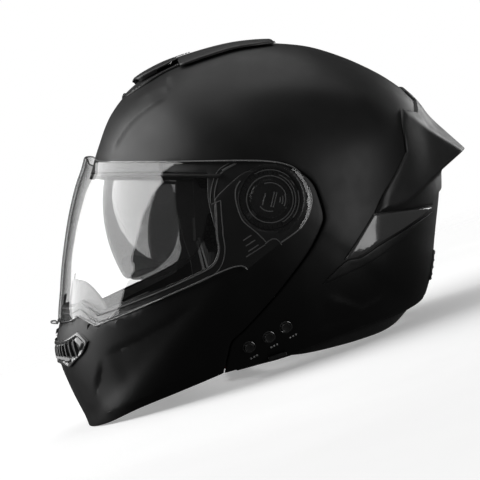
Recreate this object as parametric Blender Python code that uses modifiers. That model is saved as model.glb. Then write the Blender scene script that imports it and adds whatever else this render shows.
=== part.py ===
"""A modular (flip-up) full-face motorcycle helmet, modelled as it comes apart on a bench.

Outlines and places are in millimetres in the worn frame: the origin is close to the hinge
axis, +X is the wearer's left, -Y is forward and +Z is up.  The worn frame is tilted by one
empty so that the finished helmet stands on its chin edge and its neck roll.
"""
from math import atan2, cos, exp, hypot, pi, radians, sin

import bmesh
import bpy
from mathutils import Matrix, Vector

MM = 0.001
NAME = "modular_helmet"

# ---- driving dimensions -------------------------------------------------------------------
TILT = 18.4                       # degrees, nose down from the worn pose to the table
REST_SHIFT = (0.0, 2.49, 127.4)   # moves the middle of the footprint to the origin
HINGE = (-2.0, -1.5)              # (y, z) of the axis of the chin bar, visor and sun visor
HALF_WIDTH = 128.0
SHELL = 4.0
STEP_FLOOR = -4.6                 # the shell's outside where the chin bar's arms lie over it
STEP_INSIDE = -7.0
CHIN_WALL = 2.5
CHIN_GROW = 1.0
VISOR_WALL = 2.2
VISOR_GAP = 0.9
VISOR_SWING = 50
FOAM_OUTSIDE = -7.4
FOAM_INSIDE = -28.0
CHEEK_TOP = -32.0                 # where the cheek blocks of foam meet the main liner
CHEEK_BACK = 42.0
GAP = 0.3
RINGS = 32
BANDS = 16
TABLE = -127.4                    # the level that the chin edge and neck roll are flat at

# Midline outline of the whole form (y, z); below the rim it goes on as a smooth bowl.
BODY = [(150, 17), (149, 31), (146, 47), (140, 64.5), (129.5, 79.5), (106.5, 97), (88, 106.5),
        (66.5, 115), (44.5, 121), (24.5, 123), (-7, 121.5), (-39, 114), (-70.5, 102),
        (-93, 86.5), (-108, 67.5), (-116.5, 47), (-121, 33), (-124, 22), (-130, 1.5),
        (-135, -17), (-139, -36), (-142, -57), (-145, -76), (-147.5, -93), (-150, -106),
        (-150, -117), (-147, -128), (-139.5, -146), (-129, -166.5), (-118, -186),
        (-78.5, -194.5), (-35, -189), (10, -183), (55, -167), (90, -140), (113.5, -115),
        (127, -94.5), (136, -81), (141.5, -66), (144.5, -49), (146, -31.5), (148, -12)]
VISOR_FRONT = [(-129.5, 33.5), (-132, 24), (-135, 15.5), (-141, -8), (-145.5, -36),
               (-148.5, -69), (-150, -93)]
VISOR_CLEAR = 3.3                 # the visor's form outside the body's, away from the front

# Side-view lines (y, z), front to back or top to bottom.
SPLIT = [(23, 18), (31, 10.5), (36, -0.5), (39.5, -13), (38.5, -20.5), (32.5, -33.5),
         (25.5, -45), (10.5, -65), (0, -78), (-18, -98.5), (-27, -107.5), (-29.5, -117.5),
         (-31.5, -132)]
ARM_TOP = [(-42, 0), (-32, 10), (-20, 19), (-5, 20), (12, 20)]
PORT_SIDE = [(-43, -6), (-42, -28), (-40.5, -39), (-43, -47.5), (-50.5, -53.5)]
PORT_BOTTOM = [(-81, -68), (-112.5, -81.5), (-124.5, -86.5), (-131, -81), (-136, -77.5),
               (-141.5, -81.5), (-165, -84)]
CHIN_EDGE = [(-165, -195), (-121, -175), (-92.5, -159), (-64, -146)]
BROW = [(-165, 21), (-117, 20), (-66, 18.5), (-36, 18)]
SHELL_FRONT = [(-33, -28), (-28, -55), (-32, -78), (-46, -100), (-50, -118), (-52, -141)]
RIM = [(-31.5, -132), (-5, -124.5), (18, -118), (69, -99.5), (113.5, -86), (139, -73),
       (165, -60)]
VISOR_TOP = [(-165, 34), (-129.5, 33.5), (-121, 28.5), (-87, 27), (-52, 27), (-9, 27),
             (11.5, 24), (21, 17.5)]
VISOR_REAR = [(27, 7.5), (29.5, -2), (27, -13), (21, -22.5), (13.5, -28.5), (6, -33.5)]
VISOR_BOTTOM = [(-19, -53.5), (-30, -52), (-66.5, -68.5), (-95, -82), (-127, -97),
                (-139, -90), (-147, -95), (-165, -97)]
SPOILER_SIDE = [(107, 66), (106.5, 56), (107.5, 35), (87, 6), (80, -11), (134, -4.5),
                (142, 6), (160, 19), (160, 90), (112, 90)]
SPOILER_TAIL = [(112, 74), (118, 86), (124, 85.5), (166, 45), (171, 40), (150, 19), (138, 5)]
TAIL_ROOF = [(0, 90), (28, 83), (60, 64), (70, 40), (64, -12)]
TAIL_PLAN = [(68, 100), (60, 140), (45, 172)]
GLOSS = [(80, -12.5), (136, -6), (107, -22.5), (85, -34), (69, -43.5), (57, -46.5)]
BAND = [(138, -8), (103, -31.5), (77, -48), (40, -64), (57, -47.5), (69, -44.5), (85, -35),
        (107, -23.5)]
REAR_VENT = [(139, -38), (151, -38), (151, -64), (136, -64)]

BUTTONS = {"button_rear": (13, -96.5), "button_middle": (0.5, -104),
           "button_front": (-14, -111.5)}
BUTTON_RADIUS = 3.6
BUTTON_HOLE = 4.1
SUN_RADIUS = 112.0
SUN_HALF_WIDTH = 104.0
SUN_WALL = 2.0
SUN_CLEAR = 0.6                   # between the stowed sun visor and the foam behind it
SUN_POCKET = 22.0
SUN_FLATNESS = 0.435              # the lower, the squarer the sun visor's cross section
SUN_SPAN = 0.97                   # how near the hinge axis the section's ends come
SUN_COLUMNS = 9
LENS_SWING = (146, 206)           # degrees round the hinge, from straight back over the top
POCKET_SWING = (98, 202)
BOLT_HOLE = 4.4
GEAR_POCKET = 23.0
ARM_BOSS = 27.0

SIDE = Matrix(((0, 0, 1), (1, 0, 0), (0, 1, 0)))      # outline (u, v) lies on (Y, Z)
FRONT = Matrix(((1, 0, 0), (0, 0, -1), (0, 1, 0)))    # outline (u, v) lies on (X, Z)
PLAN = Matrix.Identity(3)                             # outline (u, v) lies on (X, Y)


# ---- scene, collections and materials -----------------------------------------------------
def clear_scene():
    for item in list(bpy.data.objects):
        bpy.data.objects.remove(item, do_unlink=True)


def new_collection(name):
    collection = bpy.data.collections.new(name)
    bpy.context.scene.collection.children.link(collection)
    return collection


def make_material(name, colour, roughness, metallic=0.0, alpha=1.0):
    material = bpy.data.materials.new(name)
    material.use_nodes = True
    shader = material.node_tree.nodes["Principled BSDF"]
    shader.inputs["Base Color"].default_value = (*colour, 1.0)
    shader.inputs["Roughness"].default_value = roughness
    shader.inputs["Metallic"].default_value = metallic
    shader.inputs["Alpha"].default_value = alpha
    return material


def make_empty(name, place, parent):
    empty = bpy.data.objects.new(name, None)
    empty.location = (Vector(place) - Vector(parent["worn_place"])) * MM
    empty["worn_place"] = place
    empty.parent = parent
    PARTS.objects.link(empty)
    return empty


def finish(item, body, colour, roughness=0.6, metallic=0.0, alpha=1.0):
    """Name the piece's finish, and hang it on the empty of the body that carries it."""
    item.data.materials.clear()
    item.data.materials.append(make_material(item.name, colour, roughness, metallic, alpha))
    item.parent = body
    item.location -= Vector(body.get("worn_place", (0, 0, 0))) * MM
    CUTTERS.objects.unlink(item)
    PARTS.objects.link(item)
    item.hide_render = False
    item.display_type = "TEXTURED"
    return item


# ---- shapes -------------------------------------------------------------------------------
def add_object(name, mesh):
    """Every shape starts as a cutter; finish() turns it into a part."""
    item = bpy.data.objects.new(name, mesh)
    CUTTERS.objects.link(item)
    item.parent = REST
    item.hide_render = True
    item.display_type = "WIRE"
    return item


def mesh_from(name, form):
    bmesh.ops.recalc_face_normals(form, faces=form.faces)
    mesh = bpy.data.meshes.new(name)
    form.to_mesh(mesh)
    form.free()
    mesh.shade_smooth()
    mesh.set_sharp_from_angle(angle=radians(35))
    return mesh


def slab(name, points, low, high, axes=SIDE):
    """A flat outline, extruded between two levels along the axis that it leaves free."""
    curve = bpy.data.curves.new(name, "CURVE")
    curve.dimensions = "2D"
    curve.fill_mode = "BOTH"
    curve.extrude = (high - low) / 2 * MM
    spline = curve.splines.new("POLY")
    spline.points.add(len(points) - 1)
    for point, (u, v) in zip(spline.points, points):
        point.co = (u * MM, v * MM, 0, 1)
    spline.use_cyclic_u = True
    holder = bpy.data.objects.new(name, curve)
    bpy.context.scene.collection.objects.link(holder)
    graph = bpy.context.evaluated_depsgraph_get()
    flat = bpy.data.meshes.new_from_object(holder.evaluated_get(graph))
    bpy.data.objects.remove(holder, do_unlink=True)
    form = bmesh.new()
    form.from_mesh(flat)
    bmesh.ops.remove_doubles(form, verts=form.verts, dist=0.01 * MM)
    lift = Matrix.Translation((0, 0, (high + low) / 2 * MM))
    bmesh.ops.transform(form, matrix=axes.to_4x4() @ lift, verts=form.verts)
    return add_object(name, mesh_from(name, form))


def rod(name, start, end, radius, end_radius=None, sides=20):
    """A round bar or a cone between two points."""
    start, end = Vector(start), Vector(end)
    along = end - start
    turn = along.to_track_quat("Z", "Y").to_matrix().to_4x4()
    place = Matrix.Translation((start + end) / 2 * MM) @ turn
    form = bmesh.new()
    bmesh.ops.create_cone(form, cap_ends=True, segments=sides, radius1=radius * MM,
                          radius2=(end_radius or radius) * MM, depth=along.length * MM,
                          matrix=place)
    return add_object(name, mesh_from(name, form))


def box(name, middle, size, turn=Matrix.Identity(3), bevel=0.0):
    form = bmesh.new()
    scale = Matrix.Diagonal(Vector(size) * MM).to_4x4()
    place = Matrix.Translation(Vector(middle) * MM) @ turn.to_4x4() @ scale
    bmesh.ops.create_cube(form, size=1.0, matrix=place)
    if bevel:
        bmesh.ops.bevel(form, geom=form.edges, offset=bevel * MM, segments=2,
                        affect="EDGES", profile=0.5)
    return add_object(name, mesh_from(name, form))


def combine(item, operation, *cutters):
    for cutter in cutters:
        boolean = item.modifiers.new(cutter.name, "BOOLEAN")
        boolean.operation = operation
        boolean.solver = "EXACT"
        boolean.object = cutter
    return item


def keep(item, *cutters):
    return combine(item, "INTERSECT", *cutters)


def cut(item, *cutters):
    return combine(item, "DIFFERENCE", *cutters)


def join(item, *cutters):
    return combine(item, "UNION", *cutters)


def ribbon(line, near, far):
    """The closed outline between two lines set off to the left of an open line."""
    def offset(distance):
        moved = []
        for index, (u, v) in enumerate(line):
            before = line[max(index - 1, 0)]
            after = line[min(index + 1, len(line) - 1)]
            du, dv = after[0] - before[0], after[1] - before[1]
            length = hypot(du, dv)
            moved.append((u - dv / length * distance, v + du / length * distance))
        return moved
    return offset(near) + offset(far)[::-1]


def shift(points, du, dv=0.0):
    return [(u + du, v + dv) for u, v in points]


# ---- the helmet's form --------------------------------------------------------------------
def polar(points):
    """An outline as (angle, radius), sorted, with one point more at each end."""
    pairs = sorted((atan2(v, u) % (2 * pi), hypot(u, v)) for u, v in points)
    first = (pairs[0][0] + 2 * pi, pairs[0][1])
    last = (pairs[-1][0] - 2 * pi, pairs[-1][1])
    return [last, *pairs, first]


def radius_at(table, angle):
    """A smooth closed curve through the outline's points, read by direction."""
    angle %= 2 * pi
    k = max(i for i, pair in enumerate(table[:-1]) if pair[0] <= angle)
    (a0, r0), (a1, r1) = table[k], table[k + 1]
    before = table[k - 1] if k > 0 else (table[-3][0] - 2 * pi, table[-3][1])
    after = table[k + 2] if k + 2 < len(table) else (table[2][0] + 2 * pi, table[2][1])
    width = a1 - a0
    t = (angle - a0) / width
    slope0 = (r1 - before[1]) / (a1 - before[0]) * width
    slope1 = (after[1] - r0) / (after[0] - a0) * width
    return (r0 * (2 * t**3 - 3 * t**2 + 1) + slope0 * (t**3 - 2 * t**2 + t)
            + r1 * (3 * t**2 - 2 * t**3) + slope1 * (t**3 - t**2))


BODY_TABLE = polar(BODY)
VISOR_TABLE = polar(
    VISOR_FRONT + [(cos(radians(a)) * (radius_at(BODY_TABLE, radians(a)) + VISOR_CLEAR),
                    sin(radians(a)) * (radius_at(BODY_TABLE, radians(a)) + VISOR_CLEAR))
                   for a in [*range(0, 151, 15), *range(230, 360, 15)]])


def chin_proud(y, z):
    """How far the chin bar stands off the shell: flush behind, proud in front."""
    ahead_of_split = y - 0.59 * min(z + 13, 0)
    return min(max(4.0 - ahead_of_split / 11, 0.0), 4.5)


def visor_proud(y, z):
    """The visor clears the chin bar's arm at each step of its swing."""
    stand_off = 0.0
    for swing in (0, VISOR_SWING / 2, VISOR_SWING):
        c, s = cos(radians(swing)), sin(radians(swing))
        stand_off = max(stand_off, chin_proud(y * c + z * s, z * c - y * s))
    return stand_off + VISOR_GAP + VISOR_WALL


def shell_proud(y, z):
    return 0.0


def form_point(table, proud, grow, angle, ratio):
    """A point of a form: angle in side view, ratio 0 at the side pole and 1 at the midline."""
    radius = (radius_at(table, angle) + grow) * ratio
    y, z = radius * cos(angle), radius * sin(angle)
    off_jaw = (angle - radians(215) + pi) % (2 * pi) - pi
    narrow = 12.0 * exp(-(off_jaw / radians(38)) ** 2) * ratio ** 2
    width = HALF_WIDTH + grow + proud(y, z) - narrow
    return width * max(1 - ratio ** 2.1, 0.0) ** (1 / 2.05), y, z


def form_body(name, table, proud, grow):
    form = bmesh.new()
    bmesh.ops.create_uvsphere(form, u_segments=RINGS, v_segments=BANDS, radius=1.0,
                              matrix=Matrix.Rotation(pi / 2, 4, "Y"))
    for vert in form.verts:
        side = 1 if vert.co.x > 0 else -1
        x, y, z = form_point(table, proud, grow, atan2(vert.co.z, vert.co.y),
                             min(hypot(vert.co.y, vert.co.z), 1.0))
        if abs(vert.co.x) < 1e-6:
            x = 0.0
        vert.co = Vector((side * x, y, z)) * MM
    return add_object(name, mesh_from(name, form))


def shell_form(name, grow):
    return form_body(name, BODY_TABLE, shell_proud, grow)


def chin_form(name, depth):
    return form_body(name, BODY_TABLE, lambda y, z: chin_proud(y, z) - CHIN_GROW,
                     CHIN_GROW - depth)


def visor_form(name, depth):
    return form_body(name, VISOR_TABLE, visor_proud, -depth)


def skin_x(y, z, grow=0.0):
    angle = atan2(z, y)
    ratio = hypot(y, z) / (radius_at(BODY_TABLE, angle) + grow)
    return form_point(BODY_TABLE, shell_proud, grow, angle, ratio)[0]


def skin_normal(y, z):
    step = 1.0
    slope_y = (skin_x(y + step, z) - skin_x(y - step, z)) / (2 * step)
    slope_z = (skin_x(y, z + step) - skin_x(y, z - step)) / (2 * step)
    return Vector((1, -slope_y, -slope_z)).normalized()


def mirrored(point, side):
    return Vector((point[0] * side, point[1], point[2]))


def half(side, near=4.0, far=150.0):
    """The span of X that one side of the helmet takes."""
    return (near, far) if side > 0 else (-far, -near)


# ---- shell and what is fixed to it --------------------------------------------------------
OUTER = [(165, 150), (-165, 150)]


def make_outer_shell():
    shell = shell_form("outer_shell", 0.0)
    keep(shell, slab("shell_outline", BROW + SHELL_FRONT + RIM + OUTER, -150, 150))
    arm_area = (shift(SPLIT, 0.5)
                + [(-31, -150), (-80, -150), (-80, 26.3), (-36, 26.3), (2, 26.3), (13, 24)])
    step = cut(slab("arm_step", arm_area, -150, 150), shell_form("step_floor", STEP_FLOOR))
    under_arm = slab("under_arm", shift(SPLIT, 5) + [(-26, -150), (-80, -150), (-80, 31), (12, 30)],
                     -160, 160)
    inside = cut(shell_form("shell_inside", -SHELL), under_arm)
    cut(shell, step, inside, shell_form("step_inside", STEP_INSIDE))
    for side in (1, -1):
        cut(shell, rod(f"bolt_hole_{side}", mirrored((100, *HINGE), side),
                       mirrored((140, *HINGE), side), BOLT_HOLE))
    for name, (y, z) in BUTTONS.items():
        middle = Vector((skin_x(y, z), y, z))
        normal = skin_normal(y, z)
        cut(shell, rod(f"{name}_hole", middle - normal * 9, middle + normal * 5, BUTTON_HOLE))
    return finish(shell, REST, (0.02, 0.02, 0.021), 0.45)


def make_foam():
    """The main liner, and the block behind each cheek; the sun visor slides in front of them."""
    outline = [(-165, 24), (-117, 23), (-66, 21.5), (-34, 21), (-31, CHEEK_TOP),
               (CHEEK_BACK, CHEEK_TOP), (CHEEK_BACK, -103.8), (69, -93), (113.5, -80), (165, -62), *OUTER]
    foam = keep(shell_form("foam_liner", FOAM_OUTSIDE), slab("foam_outline", outline, -150, 150))
    cut(foam, shell_form("foam_inside", FOAM_INSIDE), sun_pocket())
    for side in (1, -1):
        head = mirrored((110, *HINGE), side)
        cut(foam, rod(f"bolt_pocket_{side}", head, head + Vector((20 * side, 0, 0)), 10))
    finish(foam, REST, (0.09, 0.09, 0.095), 0.85)

    block = [(-29, CHEEK_TOP - GAP), (-24, -55), (-26, -76), (-29, -92), (-28, -114), (-20, -121),
             (-5, -117.5), (18, -111), (CHEEK_BACK - GAP, -103.9),
             (CHEEK_BACK - GAP, CHEEK_TOP - GAP)]
    pocket = slab("module_pocket", MODULE_POCKET, *half(1, 60))
    cut(pocket, shell_form("pocket_floor", -14))
    for word, side in (("left", 1), ("right", -1)):
        cheek = between(f"cheek_foam_{word}", block, FOAM_OUTSIDE, FOAM_INSIDE, half(side, 20))
        if word == "left":
            cut(cheek, pocket)
        finish(cheek, REST, (0.09, 0.09, 0.095), 0.85)


def between(name, outline, outside, inside, span=(-150, 150), form=shell_form):
    """The part of a layer of the form that an outline in side view picks out."""
    layer = keep(form(name, outside), slab(f"{name}_outline", outline, *span))
    return cut(layer, form(f"{name}_inside", inside))


def make_table():
    """What the finished helmet stands on flattens the edges that rest on it."""
    turn = Matrix.Rotation(radians(TILT), 3, "X")
    return box("table", turn @ Vector((0, 0, TABLE - 20)), (400, 500, 40), turn)


def make_soft_lining(table):
    crown = [(-165, 26), (-66, 23.5), (-20, 26), (40, 4), (60, -40), (165, -66), *OUTER]
    finish(between("crown_liner", crown, FOAM_INSIDE - 0.5, FOAM_INSIDE - 8), REST,
           (0.035, 0.035, 0.037), 0.95)
    cheek = [(-30, -30), (-8, -42), (8, -46), (32, -34), (36, -60), (30, -98), (8, -110),
             (-20, -113), (-30, -100), (-21, -70)]
    for word, side in (("left", 1), ("right", -1)):
        pad = between(f"cheek_pad_{word}", cheek, FOAM_INSIDE - 0.5, FOAM_INSIDE - 17,
                      half(side, 20))
        finish(pad, REST, (0.035, 0.035, 0.037), 0.95)
        middle = mirrored((skin_x(14, -17, FOAM_INSIDE) - 11.5, 14, -17), side)
        speaker = rod(f"speaker_{word}", middle, middle + Vector((7 * side, 0, 0)), 17, sides=24)
        finish(speaker, REST, (0.03, 0.03, 0.03), 0.7)
    roll = [(8, -115.5), (18, -112.5), (69, -94.5), (112, -82), (126, -78), (124, -84),
            (116, -91), (108, -97), (96, -102.5), (81, -107), (63, -111.5), (30, -118),
            (5, -119.5)]
    finish(cut(between("neck_roll", roll, FOAM_OUTSIDE, -24), table), REST, (0.03, 0.03, 0.03), 0.95)


def make_trims():
    rim = [(-28, -133.2), *shift(RIM[1:-1], 0, -0.6), (142, -72.5), (142, -77),
           *shift(RIM[-3:0:-1], 0, -4.4), (-28, -136.5)]
    finish(between("rim_trim", rim, -0.4, -5.4), REST, (0.015, 0.015, 0.015), 0.6)
    seal = [*shift(BROW[1:3], 0, -0.4), (-38.5, 17.6), (-38.5, 12.5), (-66, 13.5), (-117, 15),
            (-140, 16), (-140, 20.2)]
    finish(between("brow_seal", seal, -0.5, -5.0), REST, (0.02, 0.02, 0.02), 0.7)


def make_side_trims():
    for word, side in (("left", 1), ("right", -1)):
        panel = between(f"gloss_panel_{word}", GLOSS, 2.0, GAP, half(side, 20))
        finish(panel, REST, (0.12, 0.12, 0.125), 0.12)
        vent = between(f"side_vent_{word}", shift(BAND, 0, -0.6), 1.0, GAP, half(side, 20))
        finish(vent, REST, (0.006, 0.006, 0.006), 0.5)


def make_spoiler():
    spoiler = shell_form("rear_spoiler", 3.2)
    keep(spoiler, slab("spoiler_side", SPOILER_SIDE, -150, 150))
    tail = slab("spoiler_tail", SPOILER_TAIL, -70, 70)
    roof = TAIL_ROOF + [(-x, z) for x, z in TAIL_ROOF[:0:-1]]
    plan = TAIL_PLAN + [(-x, y) for x, y in TAIL_PLAN[::-1]]
    keep(tail, slab("tail_roof", roof, -200, -80, FRONT), slab("tail_plan", plan, -20, 100, PLAN))
    join(spoiler, tail)
    cut(spoiler, shell_form("spoiler_seat", GAP))
    finish(spoiler, REST, (0.02, 0.02, 0.021), 0.4)
    exhaust = between("rear_exhaust", REAR_VENT, 2.6, GAP, (-42, 42))
    finish(exhaust, REST, (0.01, 0.01, 0.01), 0.5)


VENT_PLAN = [(-20, -98), (-36, -84), (-35, -70), (-37, -56), (-36, -43), (-31, -19), (-27, 5),
             (-16, 19)]


def make_top_vent():
    """A fixed base and fairing, and the scoop that slides on the base."""
    plan = VENT_PLAN + [(-x, y) for x, y in VENT_PLAN[::-1]]
    base = keep(shell_form("top_vent_base", 3.4), slab("vent_plan", plan, 40, 150, PLAN))
    cut(base, shell_form("vent_seat", GAP))
    well = [(-30, -88), (-30, -50), (30, -50), (30, -88)]
    cut(base, cut(slab("scoop_well", well, 40, 150, PLAN), shell_form("well_floor", 0.9)))
    shoulder = [(-40, -100), (-40, -70), (40, -70), (40, -100)]
    cut(base, cut(slab("low_shoulder", shoulder, 40, 150, PLAN), shell_form("shoulder_top", 2.2)))
    finish(base, REST, (0.025, 0.025, 0.026), 0.4)
    scoop_plan = [(-15, -87), (-28, -80), (-28, -60), (28, -60), (28, -80), (15, -87)]
    scoop = keep(shell_form("top_vent_scoop", 3.4), slab("scoop_plan", scoop_plan, 40, 150, PLAN))
    cut(scoop, shell_form("scoop_seat", 1.6))
    place = (0, -71, 102)
    finish(scoop, make_empty("vent_slide", place, REST), (0.03, 0.03, 0.031), 0.35)


def make_pivots():
    """Each bolt holds a chin-bar arm to the shell; its head sits in the foam's pocket."""
    for word, side in (("left", 1), ("right", -1)):
        bolt = rod(f"pivot_bolt_{word}", mirrored((117.5, *HINGE), side),
                   mirrored((128, *HINGE), side), 4.0)
        head = rod(f"bolt_head_{word}", mirrored((112, *HINGE), side),
                   mirrored((118, *HINGE), side), 8.5)
        collar = rod(f"bolt_collar_{word}", mirrored((127.4, *HINGE), side),
                     mirrored((128.5, *HINGE), side), 5.8)
        finish(join(bolt, head, collar), REST, (0.35, 0.35, 0.36), 0.35, 1.0)


def make_latch_pins():
    for word, side in (("left", 1), ("right", -1)):
        outer = skin_x(-46, -103, STEP_INSIDE) - 2.2
        pin = rod(f"latch_pin_{word}", mirrored((outer, -46, -103), side),
                  mirrored((outer - 11, -46, -103), side), 3.0, sides=16)
        finish(pin, REST, (0.5, 0.5, 0.52), 0.3, 1.0)


MODULE = [(-20, -108), (10, -88.5), (22, -92), (22, -103), (-6, -112.5), (-20, -114)]
MODULE_POCKET = [(-22, -109), (10, -86.5), (24, -90), (24, -108), (24, -125), (-22, -125)]


def make_intercom():
    module = between("intercom_module", MODULE, FOAM_OUTSIDE - 0.5, -13, half(1, 60))
    finish(module, REST, (0.05, 0.05, 0.055), 0.5)
    for name, (y, z) in BUTTONS.items():
        middle = Vector((skin_x(y, z), y, z))
        normal = skin_normal(y, z)
        button = rod(name, middle - normal * 4.2, middle + normal * 1.6, BUTTON_RADIUS, sides=24)
        finish(button, make_empty(f"{name}_slide", middle, REST), (0.03, 0.03, 0.03), 0.3)


STRAP_LEFT = [(57, -116), (50, -120.5), (38, -124.5), (34, -125)]
STRAP_RIGHT = [(-57, -116), (-50, -120.5), (-28, -126), (4, -128)]


def make_chin_strap():
    """Two webbing straps, joined under the chin by a ratchet buckle with a lever."""
    for name, line in (("chin_strap_left", STRAP_LEFT), ("chin_strap_right", STRAP_RIGHT)):
        strap = slab(name, ribbon(line, 0, 2.4), 8, 32, FRONT)
        finish(strap, REST, (0.02, 0.02, 0.02), 0.9)
    body = box("buckle_body", (19.5, -20, -126.5), (28, 26, 6), bevel=0.8)
    cut(body, box("buckle_slot", (10, -20, -126.5), (28, 24.6, 4)))
    finish(body, REST, (0.04, 0.04, 0.04), 0.4)
    lever = box("buckle_lever", (17, -20, -131.6), (22, 20, 2.6), bevel=0.8)
    finish(lever, make_empty("buckle_hinge", (27, -20, -131.6), REST), (0.5, 0.05, 0.04), 0.45)


# ---- chin bar -----------------------------------------------------------------------------
def chin_outline():
    top = [(11, 20.5), (22.3, 17.6)]
    behind = shift(SPLIT[1:], -0.5)
    return PORT_BOTTOM[::-1] + PORT_SIDE[::-1] + ARM_TOP + top + behind + CHIN_EDGE[::-1]


def make_chin_bar(body, table):
    chin = keep(chin_form("chin_bar_shell", 0), slab("chin_outline", chin_outline(), -150, 150))
    cut(chin, chin_form("chin_inside", CHIN_WALL))
    rebate = shift(VISOR_BOTTOM, 0, -1.2) + [(-165, -60), (-30, -35)]
    cut(chin, cut(slab("visor_rebate", rebate, -150, 150),
                  visor_form("rebate_floor", VISOR_WALL + 0.5)))
    for side in (1, -1):
        start, end = mirrored((125.4, *HINGE), side), mirrored((127.95, *HINGE), side)
        join(chin, rod(f"arm_boss_{side}", start, end, ARM_BOSS, sides=32))
        cut(chin, rod(f"gear_pocket_{side}", mirrored((127, *HINGE), side),
                      mirrored((140, *HINGE), side), GEAR_POCKET, sides=32))
        cut(chin, rod(f"arm_hole_{side}", mirrored((110, *HINGE), side),
                      mirrored((140, *HINGE), side), BOLT_HOLE))
    grille_hole = [(-165, -109), (-137, -107), (-134, -113), (-139, -127), (-165, -127)]
    cut(chin, slab("chin_vent_hole", grille_hole, -44, 44), table)
    finish(chin, body, (0.025, 0.025, 0.026), 0.45)

    foam = [(-165, -93), (-122, -94), (-70, -74), (-64, -82), (-66, -130), (-95, -150),
            (-122, -154), (-165, -154)]
    liner = between("chin_foam", foam, 4.0, 19.0, form=chin_form)
    finish(liner, body, (0.07, 0.07, 0.075), 0.9)

    seal = [(-45, -57.5), (-51, -61.5), (-81, -75.5), (-112, -89), (-160, -90), (-160, -84.5),
            (-141, -82.5), (-136, -78.5), (-131, -82), (-124.5, -87.5), (-112.5, -82.5),
            (-81, -69), (-50.5, -54.5), (-44.5, -49)]
    finish(between("port_seal", seal, CHIN_WALL + 0.8, CHIN_WALL + 2.8, form=chin_form), body,
           (0.12, 0.12, 0.12), 0.7)

    deflector = [(-160, -63), (-139, -63), (-128, -68), (-119, -80), (-117, -87), (-160, -90)]
    finish(between("breath_deflector", deflector, 6.2, 8.2, form=chin_form), body,
           (0.1, 0.1, 0.1), 0.7)


def make_chin_vent(body):
    frame = [(-165, -100), (-139, -100), (-131, -108), (-141, -129), (-165, -129)]
    opening = [(-165, -105.5), (-140.5, -104.5), (-135.5, -109.5), (-142, -125), (-165, -125)]
    shield = between("chin_vent_frame", frame, -2.4, -GAP, form=chin_form)
    finish(cut(shield, slab("frame_opening", opening, -80, 80)), body, (0.1, 0.1, 0.1), 0.3)
    grille = [(-165, -110), (-139, -108.5), (-136.2, -113), (-140.5, -125), (-165, -125)]
    louvres = between("chin_vent_grille", grille, 0.4, CHIN_WALL, form=chin_form,
                      span=(-43, 43))
    for place in (-30, -20, -10, 0, 10, 20, 30):
        cut(louvres, box(f"louvre_slot_{place}", (place, -148, -117), (4, 40, 9)))
    finish(louvres, body, (0.02, 0.02, 0.02), 0.5)


def make_visor_gear(body):
    """The ratchet plate that each end of the visor turns on."""
    for word, side in (("left", 1), ("right", -1)):
        plate = rod(f"visor_gear_{word}", mirrored((127.3, *HINGE), side),
                    mirrored((128.5, *HINGE), side), 22.4, sides=32)
        cut(plate, rod(f"gear_bore_{word}", mirrored((120, *HINGE), side),
                       mirrored((135, *HINGE), side), 6.4))
        lug = box(f"lever_bay_{word}", mirrored((129, HINGE[0] - 13, HINGE[1] - 11), side),
                  (8, 14, 12))
        finish(cut(plate, lug), body, (0.06, 0.06, 0.06), 0.35)
        lever = box(f"quick_release_{word}",
                    mirrored((128.1, HINGE[0] - 13, HINGE[1] - 11), side), (1.2, 9, 5),
                    bevel=0.5)
        hinge = make_empty(f"quick_release_{word}_hinge",
                           mirrored((128.1, HINGE[0] - 9, HINGE[1] - 11), side), body)
        finish(lever, hinge, (0.3, 0.3, 0.3), 0.35)


def make_latch(body):
    """The button under the chin draws both hooks off the shell's pins."""
    button = box("release_button", (0, -119, -163.5), (28, 9, 8), bevel=1.0)
    finish(button, make_empty("release_slide", (0, -119, -163.5), body), (0.35, 0.02, 0.02), 0.4)
    hook = [(-60.5, -113), (-57, -113.5), (-55, -109.5), (-42, -109), (-39.5, -104),
            (-40, -98), (-43.5, -97.5), (-42.2, -103), (-43.5, -106.8), (-57, -106)]
    for word, side in (("left", 1), ("right", -1)):
        outer = skin_x(-46, -103, STEP_INSIDE) - 7.3
        plate = slab(f"latch_hook_{word}", hook, *sorted((outer * side, (outer - 3) * side)))
        hinge = make_empty(f"latch_hook_{word}_hinge", (side * (outer - 1.5), -58.5, -110.5),
                           body)
        finish(plate, hinge, (0.45, 0.45, 0.46), 0.35, 1.0)


# ---- visors -------------------------------------------------------------------------------
def make_visor(body):
    outline = VISOR_TOP + VISOR_REAR + VISOR_BOTTOM
    visor = keep(visor_form("visor_shield", 0), slab("visor_outline", outline, -150, 150))
    cut(visor, visor_form("visor_inside", VISOR_WALL))
    tab = box("visor_tab", (0, -152, -92.5), (26, 7, 3), bevel=0.8)
    join(visor, tab)
    finish(visor, body, (0.75, 0.78, 0.8), 0.05, alpha=0.25)
    for word, side in (("left", 1), ("right", -1)):
        disc = rod(f"visor_hub_{word}", mirrored((128.9, *HINGE), side),
                   mirrored((129.9, *HINGE), side), 15, sides=32)
        finish(disc, body, (0.08, 0.08, 0.08), 0.35)


def sun_section(radius_share, offset):
    """One point (x, radius) of the sun visor's cross section, at a level inside its middle."""
    radius = SUN_RADIUS * cos(radius_share * pi / 2)
    x = SUN_HALF_WIDTH * (1 - (radius / SUN_RADIUS) ** 2) ** SUN_FLATNESS
    scale = 1 - offset / SUN_RADIUS
    return x * scale, radius * scale


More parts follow.
